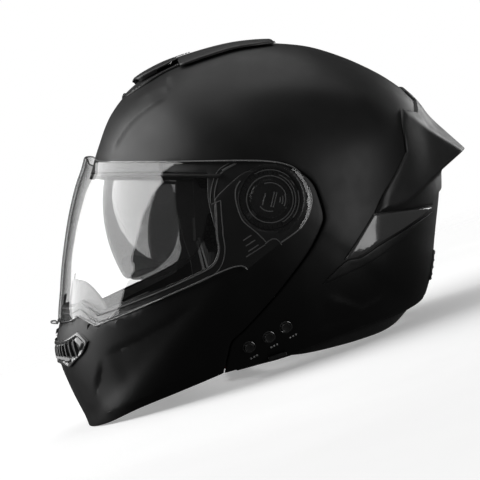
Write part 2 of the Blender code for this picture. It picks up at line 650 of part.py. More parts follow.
def sun_sheet(name, wall, swing, steps=20, inner=0.0, offset=0):
    """A plate swept round the hinge axis, so that it slides along itself."""
    start, end = (radians(angle) for angle in swing)
    form = bmesh.new()
    verts = []
    for i in range(-SUN_COLUMNS, SUN_COLUMNS + 1):
        x, radius = sun_section(SUN_SPAN * i / SUN_COLUMNS, inner)
        place = Vector((x if i > 0 else -x, cos(start) * radius, sin(start) * radius))
        verts.append(form.verts.new(place * MM))
    for first, second in zip(verts, verts[1:]):
        form.edges.new((first, second))
    mesh = bpy.data.meshes.new(name)
    form.to_mesh(mesh)
    form.free()
    sheet = add_object(name, mesh)
    sheet.location = Vector((0, *HINGE)) * MM
    sweep = sheet.modifiers.new("sweep", "SCREW")
    sweep.axis = "X"
    sweep.angle = end - start
    sweep.steps = steps
    sweep.render_steps = steps
    sweep.use_merge_vertices = False
    solid = sheet.modifiers.new("wall", "SOLIDIFY")
    solid.thickness = wall * MM
    solid.offset = offset
    solid.use_even_offset = True
    return sheet


def sun_pocket():
    """The foam stops short of the sun visor, which has the space up to the shell to itself."""
    return sun_sheet("sun_pocket", SUN_POCKET, POCKET_SWING, inner=SUN_WALL / 2 + SUN_CLEAR,
                     offset=-1)


def make_sun_visor():
    body = make_empty("sun_visor_hinge", (0, *HINGE), REST)
    lens = [(-130, 60), (-100, 62), (-60, 24), (-52, 4), (-13, 2), (-13, -4), (-46, -12),
            (-50, -38), (-62, -52), (-78, -60), (-100, -57), (-130, -40)]
    sun = keep(sun_sheet("sun_visor", SUN_WALL, LENS_SWING, 12),
               slab("sun_outline", lens, -150, 150))
    finish(sun, body, (0.02, 0.02, 0.02), 0.08, alpha=0.6)
    lever_body = make_empty("sun_lever_slide", (100.5, 8, -125.5), REST)
    lever = box("sun_visor_lever", (100.5, 8, -125.5), (6, 14, 4), bevel=1.0,
                turn=Matrix.Rotation(radians(18), 3, "X"))
    finish(lever, lever_body, (0.03, 0.03, 0.03), 0.5)


# ---- assembly -----------------------------------------------------------------------------
clear_scene()
PARTS = new_collection(NAME)
CUTTERS = new_collection("cutters")
REST = bpy.data.objects.new("rest_pose", None)
REST["worn_place"] = (0.0, 0.0, 0.0)
REST.rotation_euler = (radians(-TILT), 0, 0)
REST.location = Vector(REST_SHIFT) * MM
PARTS.objects.link(REST)

make_outer_shell()
make_foam()
table_top = make_table()
make_soft_lining(table_top)
make_trims()
make_side_trims()
make_spoiler()
make_top_vent()
make_pivots()
make_latch_pins()
make_intercom()
make_chin_strap()
make_sun_visor()

chin_body = make_empty("chin_bar_hinge", (0, *HINGE), REST)
visor_body = make_empty("visor_hinge", (0, *HINGE), chin_body)
make_chin_bar(chin_body, table_top)
make_chin_vent(chin_body)
make_visor_gear(chin_body)
make_latch(chin_body)
make_visor(visor_body)
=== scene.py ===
"""Looks of the modular helmet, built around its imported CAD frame.

Sizes are in millimetres in the worn frame, as in the CAD source: the origin is close to the
hinge axis, +X is the wearer's left, -Y is forward and +Z is up.  to_row() tilts the result
onto the surface that the helmet stands on, in metres.
"""
from math import atan2, cos, hypot, pi, radians, sin

import bmesh
import bpy
import numpy as np
from mathutils import Matrix, Vector
from mathutils.geometry import delaunay_2d_cdt


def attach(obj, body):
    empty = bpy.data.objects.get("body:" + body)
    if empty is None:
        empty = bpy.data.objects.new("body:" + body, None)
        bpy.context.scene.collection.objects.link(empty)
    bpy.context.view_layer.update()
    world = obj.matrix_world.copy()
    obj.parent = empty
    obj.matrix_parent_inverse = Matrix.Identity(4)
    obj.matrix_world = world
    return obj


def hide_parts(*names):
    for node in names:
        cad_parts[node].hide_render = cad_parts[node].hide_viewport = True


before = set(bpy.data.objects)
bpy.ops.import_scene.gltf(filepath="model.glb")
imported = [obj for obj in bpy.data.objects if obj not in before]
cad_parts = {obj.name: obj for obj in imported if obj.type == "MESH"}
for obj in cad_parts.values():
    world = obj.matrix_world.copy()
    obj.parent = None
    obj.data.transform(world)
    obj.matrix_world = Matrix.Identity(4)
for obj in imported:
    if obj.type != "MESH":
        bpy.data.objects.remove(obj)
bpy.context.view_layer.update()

MM = 0.001
TILT = radians(18.4)
SHIFT = np.array((0.0, 2.49, 127.4))
HINGE = (-2.0, -1.5)

# ---- the helmet's form, as the CAD has it ---------------------------------------------------
HALF_WIDTH = 128.0
CHIN_GROW = 1.0
VISOR_WALL = 2.2
VISOR_GAP = 0.9
VISOR_SWING = 50
VISOR_CLEAR = 3.3
FOAM_INSIDE = -28.0

BODY = [(150, 17), (149, 31), (146, 47), (140, 64.5), (129.5, 79.5), (106.5, 97), (88, 106.5),
        (66.5, 115), (44.5, 121), (24.5, 123), (-7, 121.5), (-39, 114), (-70.5, 102),
        (-93, 86.5), (-108, 67.5), (-116.5, 47), (-121, 33), (-124, 22), (-130, 1.5),
        (-135, -17), (-139, -36), (-142, -57), (-145, -76), (-147.5, -93), (-150, -106),
        (-150, -117), (-147, -128), (-139.5, -146), (-129, -166.5), (-118, -186),
        (-78.5, -194.5), (-35, -189), (10, -183), (55, -167), (90, -140), (113.5, -115),
        (127, -94.5), (136, -81), (141.5, -66), (144.5, -49), (146, -31.5), (148, -12)]
VISOR_FRONT = [(-129.5, 33.5), (-132, 24), (-135, 15.5), (-141, -8), (-145.5, -36),
               (-148.5, -69), (-150, -93)]

SPLIT = [(23, 18), (31, 10.5), (36, -0.5), (39.5, -13), (38.5, -20.5), (32.5, -33.5),
         (25.5, -45), (10.5, -65), (0, -78), (-18, -98.5), (-27, -107.5), (-29.5, -117.5),
         (-31.5, -132)]
ARM_TOP = [(-42, 0), (-32, 10), (-20, 19), (-5, 20), (12, 20)]
PORT_SIDE = [(-43, -6), (-42, -28), (-40.5, -39), (-43, -47.5), (-50.5, -53.5)]
PORT_BOTTOM = [(-81, -68), (-112.5, -81.5), (-124.5, -86.5), (-131, -81), (-136, -77.5),
               (-141.5, -81.5), (-165, -84)]
CHIN_EDGE = [(-165, -195), (-121, -175), (-92.5, -159), (-64, -146)]
BROW = [(-165, 21), (-117, 20), (-66, 18.5), (-36, 18)]
RIM = [(-31.5, -132), (-5, -124.5), (18, -118), (69, -99.5), (113.5, -86), (139, -73),
       (165, -60)]
VISOR_TOP = [(-165, 34), (-129.5, 33.5), (-121, 28.5), (-87, 27), (-52, 27), (-9, 27),
             (11.5, 24), (21, 17.5)]
VISOR_REAR = [(27, 7.5), (29.5, -2), (27, -13), (21, -22.5), (13.5, -28.5), (6, -33.5)]
VISOR_BOTTOM = [(-19, -53.5), (-30, -52), (-66.5, -68.5), (-95, -82), (-127, -97),
                (-139, -90), (-147, -95), (-165, -97)]
GLOSS = [(80, -12.5), (136, -6), (107, -22.5), (85, -34), (69, -43.5), (57, -46.5)]
BAND = [(138, -8), (103, -31.5), (77, -48), (40, -64), (57, -47.5), (69, -44.5), (85, -35),
        (107, -23.5)]
OVER_THE_TOP = [(165, 150), (-165, 150)]
BUTTONS = {"button_rear": (13, -96.5), "button_middle": (0.5, -104),
           "button_front": (-14, -111.5)}
BUTTON_HOLE = 4.1


def polar_table(points):
    """An outline as sorted angles and radii, with two points more at each end."""
    pairs = sorted((atan2(v, u) % (2 * pi), hypot(u, v)) for u, v in points)
    before = [(a - 2 * pi, r) for a, r in pairs[-2:]]
    after = [(a + 2 * pi, r) for a, r in pairs[:2]]
    return np.array(before + pairs + after)


def radius_at(table, angle):
    """A smooth closed curve through the outline's points, read by direction."""
    angle = np.asarray(angle) % (2 * pi)
    k = np.searchsorted(table[:, 0], angle, side="right") - 1
    k = np.clip(k, 1, len(table) - 3)
    (a0, r0), (a1, r1) = table[k].T, table[k + 1].T
    before, after = table[k - 1].T, table[k + 2].T
    width = a1 - a0
    t = (angle - a0) / width
    slope0 = (r1 - before[1]) / (a1 - before[0]) * width
    slope1 = (after[1] - r0) / (after[0] - a0) * width
    return (r0 * (2 * t**3 - 3 * t**2 + 1) + slope0 * (t**3 - 2 * t**2 + t)
            + r1 * (3 * t**2 - 2 * t**3) + slope1 * (t**3 - t**2))


BODY_TABLE = polar_table(BODY)
PLAIN_ANGLES = np.radians([*range(0, 151, 15), *range(230, 360, 15)])
PLAIN_RADII = radius_at(BODY_TABLE, PLAIN_ANGLES) + VISOR_CLEAR
VISOR_TABLE = polar_table(VISOR_FRONT + list(zip(np.cos(PLAIN_ANGLES) * PLAIN_RADII,
                                                 np.sin(PLAIN_ANGLES) * PLAIN_RADII)))


def chin_proud(y, z):
    """How far the chin bar stands off the shell: flush behind, proud in front."""
    ahead_of_split = y - 0.59 * np.minimum(z + 13, 0)
    return np.clip(4.0 - ahead_of_split / 11, 0.0, 4.5)


def visor_proud(y, z):
    stand_off = 0.0
    for swing in np.radians((0, VISOR_SWING / 2, VISOR_SWING)):
        c, s = np.cos(swing), np.sin(swing)
        stand_off = np.maximum(stand_off, chin_proud(y * c + z * s, z * c - y * s))
    return stand_off + VISOR_GAP + VISOR_WALL


class Form:
    """One of the helmet's three surfaces: the shell's, the chin bar's or the visor's."""

    def __init__(self, table, proud, lift=0.0):
        self.table = table
        self.proud = proud
        self.lift = lift

    def place(self, angle, ratio, grow):
        """Angle in side view; ratio 0 at the side pole and 1 at the midline."""
        grow = grow + self.lift
        radius = (radius_at(self.table, angle) + grow) * ratio
        y, z = radius * np.cos(angle), radius * np.sin(angle)
        off_jaw = (angle - radians(215) + pi) % (2 * pi) - pi
        narrow = 12.0 * np.exp(-(off_jaw / radians(38)) ** 2) * ratio**2
        width = HALF_WIDTH + grow + self.proud(y, z) - narrow
        x = width * np.maximum(1 - ratio**2.1, 0.0) ** (1 / 2.05)
        return np.stack((x, y, z), 1)

    def disc(self, points, grow=0.0):
        """Side-view points on a flat disc, where distances are close to the surface's own."""
        points = np.asarray(points, float)
        y, z = points.T
        angle = np.arctan2(z, y)
        ratio = np.hypot(y, z) / (radius_at(self.table, angle) + grow + self.lift)
        q = np.arcsin(np.minimum(ratio, 1.0)) * DISC
        return np.stack((q * np.cos(angle), q * np.sin(angle)), 1)


DISC = 120.0
DISC_RIM = DISC * pi / 2
SHELL = Form(BODY_TABLE, lambda y, z: 0.0)
CHIN = Form(BODY_TABLE, lambda y, z: chin_proud(y, z) - CHIN_GROW, CHIN_GROW)
VISOR = Form(VISOR_TABLE, visor_proud)


def to_row(points):
    x, y, z = (np.asarray(points, float).reshape(-1, 3)).T
    c, s = cos(TILT), sin(TILT)
    return (np.stack((x, y * c + z * s, z * c - y * s), 1) + SHIFT) * MM


ROW = Matrix.Translation(Vector(SHIFT * MM)) @ Matrix.Rotation(-TILT, 4, "X")


# ---- outlines --------------------------------------------------------------------------------
CORNER = radians(34)


def shift(points, du, dv=0.0):
    return [(u + du, v + dv) for u, v in points]


def turning(before, here, after):
    first = atan2(here[1] - before[1], here[0] - before[0])
    second = atan2(after[1] - here[1], after[0] - here[0])
    return abs((second - first + pi) % (2 * pi) - pi)


def smooth_line(points, closed=True, pieces=8):
    """A curve through the points that keeps each corner sharper than CORNER."""
    points = [np.array(p, float) for p in points]
    count = len(points)

    def at(i):
        return points[i % count] if closed else points[min(max(i, 0), count - 1)]

    sharp = [turning(at(i - 1), at(i), at(i + 1)) > CORNER for i in range(count)]
    line = []
    for i in range(count if closed else count - 1):
        start, end = at(i), at(i + 1)
        slope0 = np.zeros(2) if sharp[i] else (end - at(i - 1)) / 2
        slope1 = np.zeros(2) if sharp[(i + 1) % count] else (at(i + 2) - start) / 2
        if sharp[i]:
            slope0 = (end - start) if sharp[(i + 1) % count] else 1.5 * (end - start) - slope1 / 2
        if sharp[(i + 1) % count]:
            slope1 = (end - start) if sharp[i] else 1.5 * (end - start) - slope0 / 2
        for t in np.linspace(0, 1, pieces, endpoint=False):
            line.append(start * (2 * t**3 - 3 * t**2 + 1) + slope0 * (t**3 - 2 * t**2 + t)
                        + end * (3 * t**2 - 2 * t**3) + slope1 * (t**3 - t**2))
    if not closed:
        line.append(points[-1])
    return np.array(line)


def disc_loop(form, outline, step, grow=0.0):
    """The outline on the disc, with a point at most each step and its corners kept."""
    line = smooth_line(outline)
    loop = []

    def walk(start, end, depth=0):
        a, b = form.disc([start, end], grow)
        if np.hypot(*(b - a)) > step and depth < 14:
            middle = (start + end) / 2
            walk(start, middle, depth + 1)
            walk(middle, end, depth + 1)
        else:
            loop.append(b)

    for start, end in zip(line, np.roll(line, -1, 0)):
        walk(start, end)
    return thinned(np.array(loop), step * 0.45)


def thinned(loop, least):
    """Drops each point that is closer than least to the last one kept."""
    kept = [loop[0]]
    for point in loop[1:]:
        if np.hypot(*(point - kept[-1])) >= least:
            kept.append(point)
    if np.hypot(*(kept[-1] - kept[0])) < least:
        kept.pop()
    return np.array(kept)


def inside(points, loop):
    """Which points lie in the closed loop."""
    found = np.zeros(len(points), bool)
    for a, b in zip(loop, np.roll(loop, -1, 0)):
        spans = (a[1] > points[:, 1]) != (b[1] > points[:, 1])
        if abs(b[1] - a[1]) > 1e-12:
            at = a[0] + (points[:, 1] - a[1]) / (b[1] - a[1]) * (b[0] - a[0])
            found ^= spans & (points[:, 0] < at)
    return found


def line_distance(points, starts, ends):
    """Each point's distance to the nearest of the segments."""
    nearest = np.full(len(points), 1e9)
    for a, b in zip(starts, ends):
        along = b - a
        length = along @ along
        t = np.clip((points - a) @ along / max(length, 1e-12), 0, 1)
        gap = points - a - t[:, None] * along
        nearest = np.minimum(nearest, np.hypot(gap[:, 0], gap[:, 1]))
    return nearest


# ---- curved plates ---------------------------------------------------------------------------
class Sheet:
    """A triangulated stretch of a form, clipped by an outline in side view."""

    def __init__(self, form, outline, holes=(), step=2.4, edge=1.0, grow=0.0, folds=()):
        self.form = form
        loops = [disc_loop(form, outline, step * 0.7, grow)]
        loops += [disc_loop(form, hole, step * 0.5, grow) for hole in holes]
        points, edges, free = [], [], []
        for loop in loops:
            base = len(points)
            count = len(loop)
            points += list(loop)
            for i in range(count):
                j = (i + 1) % count
                edges.append((base + i, base + j))
                on_midline = min(np.hypot(*loop[i]), np.hypot(*loop[j])) > DISC_RIM - 1e-6
                free.append(not on_midline)
        points = np.array(points)
        starts = np.array([points[a] for (a, b), f in zip(edges, free) if f])
        ends = np.array([points[b] for (a, b), f in zip(edges, free) if f])
        fold_edges = []
        for fold in folds:
            line = thinned(form.disc(smooth_line(fold, closed=False)), step * 0.6)
            line = line[inside(line, loops[0]) & (line_distance(line, starts, ends) > 1.5)]
            base = len(points)
            fold_edges += [(base + i, base + i + 1) for i in range(len(line) - 1)]
            points = np.concatenate((points, line))
        rows = self.rows(loops, starts, ends, edge)
        grid = self.grid(loops, starts, ends, step, edge)
        everything = np.concatenate([points, *rows, grid])
        self.triangulate(everything, edges + fold_edges, loops)
        self.edge_gap = line_distance(self.uv, starts, ends)

    @staticmethod
    def rows(loops, starts, ends, edge):
        """Rows of points beside each edge, close enough together to round it."""
        rows = []
        for number, loop in enumerate(loops):
            along = np.roll(loop, -1, 0) - np.roll(loop, 1, 0)
            along /= np.maximum(np.hypot(along[:, 0], along[:, 1]), 1e-9)[:, None]
            normal = np.stack((-along[:, 1], along[:, 0]), 1)
            probe = loop + normal * 0.05
            if inside(probe, loop).mean() < 0.5:
                normal = -normal
            if number:
                normal = -normal
            for share in (0.15, 0.5, 1.0):
                row = loop + normal * edge * share
                good = line_distance(row, starts, ends) > 0.9 * edge * share
                good &= inside(row, loops[0]) & (np.hypot(row[:, 0], row[:, 1]) < DISC_RIM - 0.3)
                rows.append(row[good])
        return rows

    @staticmethod
    def grid(loops, starts, ends, step, edge):
        low, high = loops[0].min(0), loops[0].max(0)
        u = np.arange(low[0], high[0] + step, step)
        v = np.arange(low[1], high[1] + step, step * 0.866)
        across, up = np.meshgrid(u, v)
        across[1::2] += step / 2
        points = np.stack((across.ravel(), up.ravel()), 1)
        points = points[inside(points, loops[0])]
        for hole in loops[1:]:
            points = points[~inside(points, hole)]
        points = points[np.hypot(points[:, 0], points[:, 1]) < DISC_RIM - step * 0.5]
        return points[line_distance(points, starts, ends) > edge + step * 0.5]

    def triangulate(self, points, edges, loops):
        made = delaunay_2d_cdt([Vector(p) for p in points], edges, [], 0, 1e-5)
        uv = np.array([tuple(p) for p in made[0]])
        faces = np.array([f for f in made[2] if len(f) == 3])
        middle = uv[faces].mean(1)
        keep = inside(middle, loops[0])
        for hole in loops[1:]:
            keep &= ~inside(middle, hole)
        faces = faces[keep]
        used = np.unique(faces)
        number = np.full(len(uv), -1)
        number[used] = np.arange(len(used))
        self.uv = uv[used]
        self.faces = number[faces]
        radius = np.hypot(self.uv[:, 0], self.uv[:, 1])
        self.on_midline = radius > DISC_RIM - 1e-4
        self.angle = np.arctan2(self.uv[:, 1], self.uv[:, 0])
        self.ratio = np.where(self.on_midline, 1.0, np.sin(np.minimum(radius / DISC, pi / 2)))

    def side_view(self, grow=0.0):
        """Each point's (y, z)."""
        return self.form.place(self.angle, self.ratio, grow)[:, 1:]

    def surface(self, grow):
        points = self.form.place(self.angle, self.ratio, grow)
        points[self.on_midline, 0] = 0.0
        return points

    def borders(self):
        """The directed edges that only one triangle has, without the midline's."""
        directed = np.concatenate((self.faces[:, :2], self.faces[:, 1:], self.faces[:, [2, 0]]))
        one_way = {tuple(e) for e in directed.tolist()}
        return [(a, b) for a, b in one_way if (b, a) not in one_way
                and not (self.on_midline[a] and self.on_midline[b])]


def rounded(gap, radius):
    """How far a rounded edge falls, at a distance from it."""
    short = np.clip(radius - gap, 0.0, radius)
    return radius - np.sqrt(np.maximum(radius**2 - short**2, 0.0))


def plate(name, sheet, outside, inside_points, sides=(1, -1)):
    """A closed shell between two sets of the sheet's points, mirrored to the far side."""
    count = len(sheet.uv)
    points = np.concatenate((outside, inside_points))
    borders = sheet.borders()
    faces = sheet.faces
    corners = outside[faces]
    normal = np.cross(corners[:, 1] - corners[:, 0], corners[:, 2] - corners[:, 0])
    if normal[:, 0].sum() < 0:
        faces = faces[:, ::-1]
        borders = [(b, a) for a, b in borders]
    near = [tuple(f) for f in faces.tolist()]
    near += [(c + count, b + count, a + count) for a, b, c in faces.tolist()]
    near += [(b, a, a + count, b + count) for a, b in borders]
    all_points, all_faces = [], []
    midline = np.concatenate((sheet.on_midline, sheet.on_midline))
    if len(sides) == 2:
        far_number = np.arange(2 * count) + 2 * count
        far_number[midline] = np.arange(2 * count)[midline]
        all_points = np.concatenate((points, points * (-1, 1, 1)))
        all_faces = near + [tuple(int(far_number[i]) for i in reversed(f)) for f in near]
    elif sides[0] == 1:
        all_points, all_faces = points, near
    else:
        all_points = points * (-1, 1, 1)
        all_faces = [tuple(reversed(f)) for f in near]
    return new_piece(name, to_row(all_points), all_faces)


def new_piece(name, points, faces, sharp=38):
    mesh = bpy.data.meshes.new(name)
    mesh.from_pydata([tuple(p) for p in points], [], faces)
    form = bmesh.new()
    form.from_mesh(mesh)
    loose = [v for v in form.verts if not v.link_faces]
    bmesh.ops.delete(form, geom=loose, context="VERTS")
    form.to_mesh(mesh)
    form.free()
    mesh.shade_smooth()
    mesh.set_sharp_from_angle(angle=radians(sharp))
    piece = bpy.data.objects.new(name, mesh)
    bpy.context.scene.collection.objects.link(piece)
    return piece


def hull_plate(name, form, outline, outer, inner, edge=1.0, sides=(1, -1), **options):
    """A plain plate between two levels of a form, with rounded edges."""
    sheet = Sheet(form, outline, edge=edge, grow=outer, **options)
    outside = sheet.surface(outer - rounded(sheet.edge_gap, edge))
    return plate(name, sheet, outside, sheet.surface(inner), sides)


def circle(y, z, radius, count=28):
    turn = np.linspace(0, 2 * pi, count, endpoint=False)
    return [(y + radius * cos(a), z + radius * sin(a)) for a in turn]


def dress(piece, material, body, *nodes, slot=None):
    """Finish a piece: its material, the body it rides on and the CAD nodes it stands for."""
    piece.data.materials.clear()
    piece.data.materials.append(material)
    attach(piece, body)
    if nodes:
        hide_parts(*nodes)
    return piece


# ---- materials -------------------------------------------------------------------------------
SCHLICK_POWER = 5.0
CLEAR_ROUGHNESS = 0.02
STITCH = 0.0011               # of the knit, in metres
WEFT, WARP = 0.0013, 0.0009   # of the webbing, in metres


class Finish:
    """A node material under construction: one Principled shader and what feeds it."""

    def __init__(self, name, roughness=0.5, **constants):
        self.material = bpy.data.materials.new(name)
        self.material.use_nodes = True
        self.tree = self.material.node_tree
        self.shader = self.tree.nodes["Principled BSDF"]
        self.shader.inputs["Roughness"].default_value = roughness
        for socket, value in constants.items():
            self.shader.inputs[socket.replace("_", " ")].default_value = value
        self.place = self.node("ShaderNodeTexCoord").outputs["Object"]

    def node(self, kind, **settings):
        made = self.tree.nodes.new(kind)
        for key, value in settings.items():
            setattr(made, key, value)
        return made

    def link(self, output, target):
        self.tree.links.new(output, target)

    def noise(self, scale, detail=3.0, roughness=0.5):
        made = self.node("ShaderNodeTexNoise")
        made.inputs["Scale"].default_value = scale
        made.inputs["Detail"].default_value = detail
        made.inputs["Roughness"].default_value = roughness
        self.link(self.place, made.inputs["Vector"])
        return made.outputs["Fac"]

    def cells(self, scale, feature="F1"):
        made = self.node("ShaderNodeTexVoronoi", feature=feature)
        made.inputs["Scale"].default_value = scale
        self.link(self.place, made.inputs["Vector"])
        return made.outputs["Distance"]

    def threads(self, spacing, direction="X"):
        made = self.node("ShaderNodeTexWave", wave_type="BANDS", bands_direction=direction)
        made.inputs["Scale"].default_value = 0.314 / spacing
        made.inputs["Distortion"].default_value = 0.6
        made.inputs["Detail Scale"].default_value = 2.0
        self.link(self.place, made.inputs["Vector"])
        return made.outputs["Fac"]

    def mapped(self, value, low, high, start=0.0, end=1.0):
        made = self.node("ShaderNodeMapRange")
        for socket, number in (("From Min", start), ("From Max", end), ("To Min", low),
                               ("To Max", high)):
            made.inputs[socket].default_value = number
        self.link(value, made.inputs["Value"])
        return made.outputs["Result"]

    def mixed(self, first, second, operation="MULTIPLY"):
        made = self.node("ShaderNodeMath", operation=operation)
        self.link(first, made.inputs[0])
        self.link(second, made.inputs[1])
        return made.outputs[0]

    def ramp(self, value, *stops):
        made = self.node("ShaderNodeValToRGB")
        elements = made.color_ramp.elements
        while len(elements) < len(stops):
            elements.new(0.5)
        for element, (position, colour) in zip(elements, stops):
            element.position = position
            element.color = (*colour, 1.0)
        self.link(value, made.inputs["Fac"])
        return made.outputs["Color"]

    def colour(self, value, *stops):
        self.link(self.ramp(value, *stops), self.shader.inputs["Base Color"])
        return self

    def rough(self, value, low, high, start=0.3, end=0.7):
        self.link(self.mapped(value, low, high, start, end), self.shader.inputs["Roughness"])
        return self

    def bump(self, value, distance, strength=1.0):
        """Raises the surface by a distance in metres."""
        made = self.node("ShaderNodeBump")
        made.inputs["Distance"].default_value = distance
        made.inputs["Strength"].default_value = strength
        self.link(value, made.inputs["Height"])
        before = self.shader.inputs["Normal"]
        if before.links:
            self.link(before.links[0].from_socket, made.inputs["Normal"])
        self.link(made.outputs["Normal"], self.shader.inputs["Normal"])
        return self


def grey(level):
    return (level, level, level)


def mottled(name, colour, roughness, scale, spread=0.2, detail=4, **constants):
    """A finish whose colour wanders by a share of itself."""
    made = Finish(name, roughness, **constants)
    low, high = (tuple(c * (1 + d) for c in colour) for d in (-spread, spread))
    made.colour(made.noise(scale, detail), (0.3, low), (0.7, high))
    return made


def matte_paint(name, level, roughness):
    """Soft-touch paint: a fine orange peel, faint clouding, and a finger-worn sheen."""
    paint = mottled(name, grey(level), roughness, 22, 0.15, Specular_IOR_Level=0.35)
    paint.rough(paint.noise(38, 5, 0.6), roughness - 0.04, roughness + 0.06)
    paint.bump(paint.noise(900, 2), 0.00003, 0.35)
    paint.bump(paint.noise(60, 2), 0.0002, 0.12)
    return paint.material


def moulded(name, level, roughness):
    """Injection-moulded plastic with a fine spark-eroded grain."""
    plastic = mottled(name, grey(level), roughness, 90, Specular_IOR_Level=0.5)
    plastic.rough(plastic.noise(120, 4), roughness - 0.05, roughness + 0.08)
    plastic.bump(plastic.cells(1500), 0.00004, 0.6)
    return plastic.material


def lacquer(name, level, roughness):
    """Gloss lacquer over moulded plastic, with the slight waviness of a sprayed coat."""
    gloss = mottled(name, grey(level), roughness, 30, 0.1, 3, Coat_Weight=1.0, Coat_Roughness=0.05)
    gloss.rough(gloss.noise(70, 4), roughness, roughness + 0.08)
    gloss.bump(gloss.noise(140, 2), 0.00008, 0.25)
    return gloss.material


def clear_plastic(name, tint, head_on):
    """Clear seen head on and a mirror seen flat, as Schlick's rule has it; hair-fine scratches."""
    clear = Finish(name, CLEAR_ROUGHNESS, Metallic=1.0)
    clear.colour(clear.noise(15, 2), (0.3, grey(tint * 0.97)), (0.7, grey(tint)))
    scratches = clear.noise(260, 6, 0.7)
    clear.rough(scratches, CLEAR_ROUGHNESS, CLEAR_ROUGHNESS + 0.03, 0.55, 0.8)
    facing = clear.node("ShaderNodeLayerWeight").outputs["Facing"]
    steep = clear.node("ShaderNodeMath", operation="POWER")
    steep.inputs[1].default_value = SCHLICK_POWER
    clear.link(facing, steep.inputs[0])
    clear.link(clear.mapped(steep.outputs[0], head_on, 1.0), clear.shader.inputs["Alpha"])
    clear.material.surface_render_method = "BLENDED"
    return clear.material


def smoked_plastic(name, tint, alpha):
    """Tinted polycarbonate, dyed right through, with a hard glossy coat."""
    smoke = mottled(name, grey(tint), 0.05, 15, 0.1, 2, Alpha=alpha, Coat_Weight=1.0,
                    Coat_Roughness=0.02)
    smoke.rough(smoke.noise(260, 6, 0.7), 0.04, 0.08, 0.55, 0.8)
    smoke.material.surface_render_method = "BLENDED"
    return smoke.material


def rubber(name, level):
    seal = mottled(name, grey(level), 0.62, 150, Specular_IOR_Level=0.4)
    seal.rough(seal.noise(300, 4), 0.55, 0.75)
    seal.bump(seal.noise(2200, 3), 0.00005, 0.5)
    return seal.material


def knit(name, level):
    """Brushed wicking knit: crossing threads, fuzz and a soft sheen."""
    cloth = Finish(name, 0.95, Sheen_Weight=0.35, Sheen_Roughness=0.5)
    cloth.colour(cloth.noise(450, 5, 0.7), (0.3, grey(level * 0.6)), (0.7, grey(level * 1.5)))
    weave = cloth.mixed(cloth.threads(STITCH, "X"), cloth.threads(STITCH, "Z"))
    cloth.bump(weave, 0.00035, 0.7)
    cloth.bump(cloth.noise(1600, 4, 0.7), 0.0002, 0.5)
    return cloth.material


def leatherette(name, level):
    """Embossed vinyl with a pebble grain."""
    hide = mottled(name, grey(level), 0.55, 200, 0.25, Sheen_Weight=0.1)
    hide.rough(hide.cells(900), 0.45, 0.68, 0.1, 0.6)
    hide.bump(hide.cells(900), 0.0002, 0.7)
    return hide.material


def foam_beads(name, level):
    """Expanded polystyrene: pressed beads with dark seams between them."""
    beads = Finish(name, 0.85, Specular_IOR_Level=0.3)
    edge = beads.cells(330, "DISTANCE_TO_EDGE")
    beads.colour(edge, (0.0, grey(level * 0.35)), (0.12, grey(level)), (0.5, grey(level * 1.3)))
    beads.bump(beads.cells(330), 0.0005, -0.5)
    return beads.material


def webbing(name, level):
    """Woven polyester: ribs across the strap, broken up by single threads."""
    strap = Finish(name, 0.8, Sheen_Weight=0.2)
    strap.colour(strap.noise(700, 3), (0.3, grey(level * 0.6)), (0.7, grey(level * 1.5)))
    ribs = strap.mixed(strap.threads(WEFT, "X"), strap.threads(WARP, "Y"))
    strap.bump(ribs, 0.0004, 0.8)
    return strap.material


def metal(name, level, roughness):
    """Plated steel with fine brushing."""
    plated = Finish(name, roughness, Metallic=1.0)
    plated.colour(plated.noise(160, 4), (0.3, grey(level * 0.85)), (0.7, grey(level * 1.1)))
    plated.rough(plated.noise(500, 5), roughness - 0.06, roughness + 0.12)
    plated.bump(plated.noise(1200, 3), 0.00003, 0.5)
    return plated.material


def coloured(name, colour, roughness):
    plastic = Finish(name, roughness)
    darker = tuple(c * 0.75 for c in colour)
    plastic.colour(plastic.noise(120, 4), (0.3, darker), (0.7, colour))
    plastic.rough(plastic.noise(160, 4), roughness - 0.05, roughness + 0.1)
    plastic.bump(plastic.cells(1500), 0.00004, 0.5)
    return plastic.material


PAINT = matte_paint("matte_black_paint", 0.010, 0.42)
SATIN = moulded("satin_black_plastic", 0.014, 0.42)
# The gloss side panels' dark grey base colour is a painted reflection: it stands in for a bright
# reflection that no lamp gives them.
GLOSS_LACQUER_PAINTED_REFLECTION = lacquer("gloss_lacquer_painted_reflection", 0.1, 0.12)
SHIELD_GREY = lacquer("gloss_grey_lacquer", 0.07, 0.2)
GRILLE = moulded("dark_grille_plastic", 0.008, 0.5)
INNER = moulded("inner_plastic", 0.03, 0.45)
PIVOT = moulded("pivot_plastic", 0.012, 0.28)
BUTTON = moulded("button_plastic", 0.04, 0.36)
# The light grey of the arm, ring and hub ridges and of the port's corner stop is a painted highlight:
# the thin bright lines that light draws along black ridges.
RIDGE_PAINTED_HIGHLIGHT = lacquer("ridge_painted_highlight", 0.22, 0.2)
CLEAR = clear_plastic("clear_polycarbonate", 0.95, 0.05)
CLEAR_EDGE = smoked_plastic("polycarbonate_edge", 0.28, 0.8)
SMOKE = smoked_plastic("smoke_polycarbonate", 0.02, 0.6)
BLACK_RUBBER = rubber("black_rubber", 0.012)
GREY_RUBBER = rubber("grey_rubber", 0.16)
LINING = knit("brushed_knit", 0.02)
VINYL = leatherette("embossed_vinyl", 0.016)
EPS = foam_beads("polystyrene_beads", 0.045)
STRAP = webbing("strap_webbing", 0.015)
STEEL = metal("plated_steel", 0.45, 0.32)
RED = coloured("red_plastic", (0.42, 0.015, 0.012), 0.38)


# ---- relief ----------------------------------------------------------------------------------
def creased(sheet, creases):
    """The sum of a sheet's creases, each given as step_line's arguments."""
    return sum(step_line(sheet, *crease) for crease in creases)


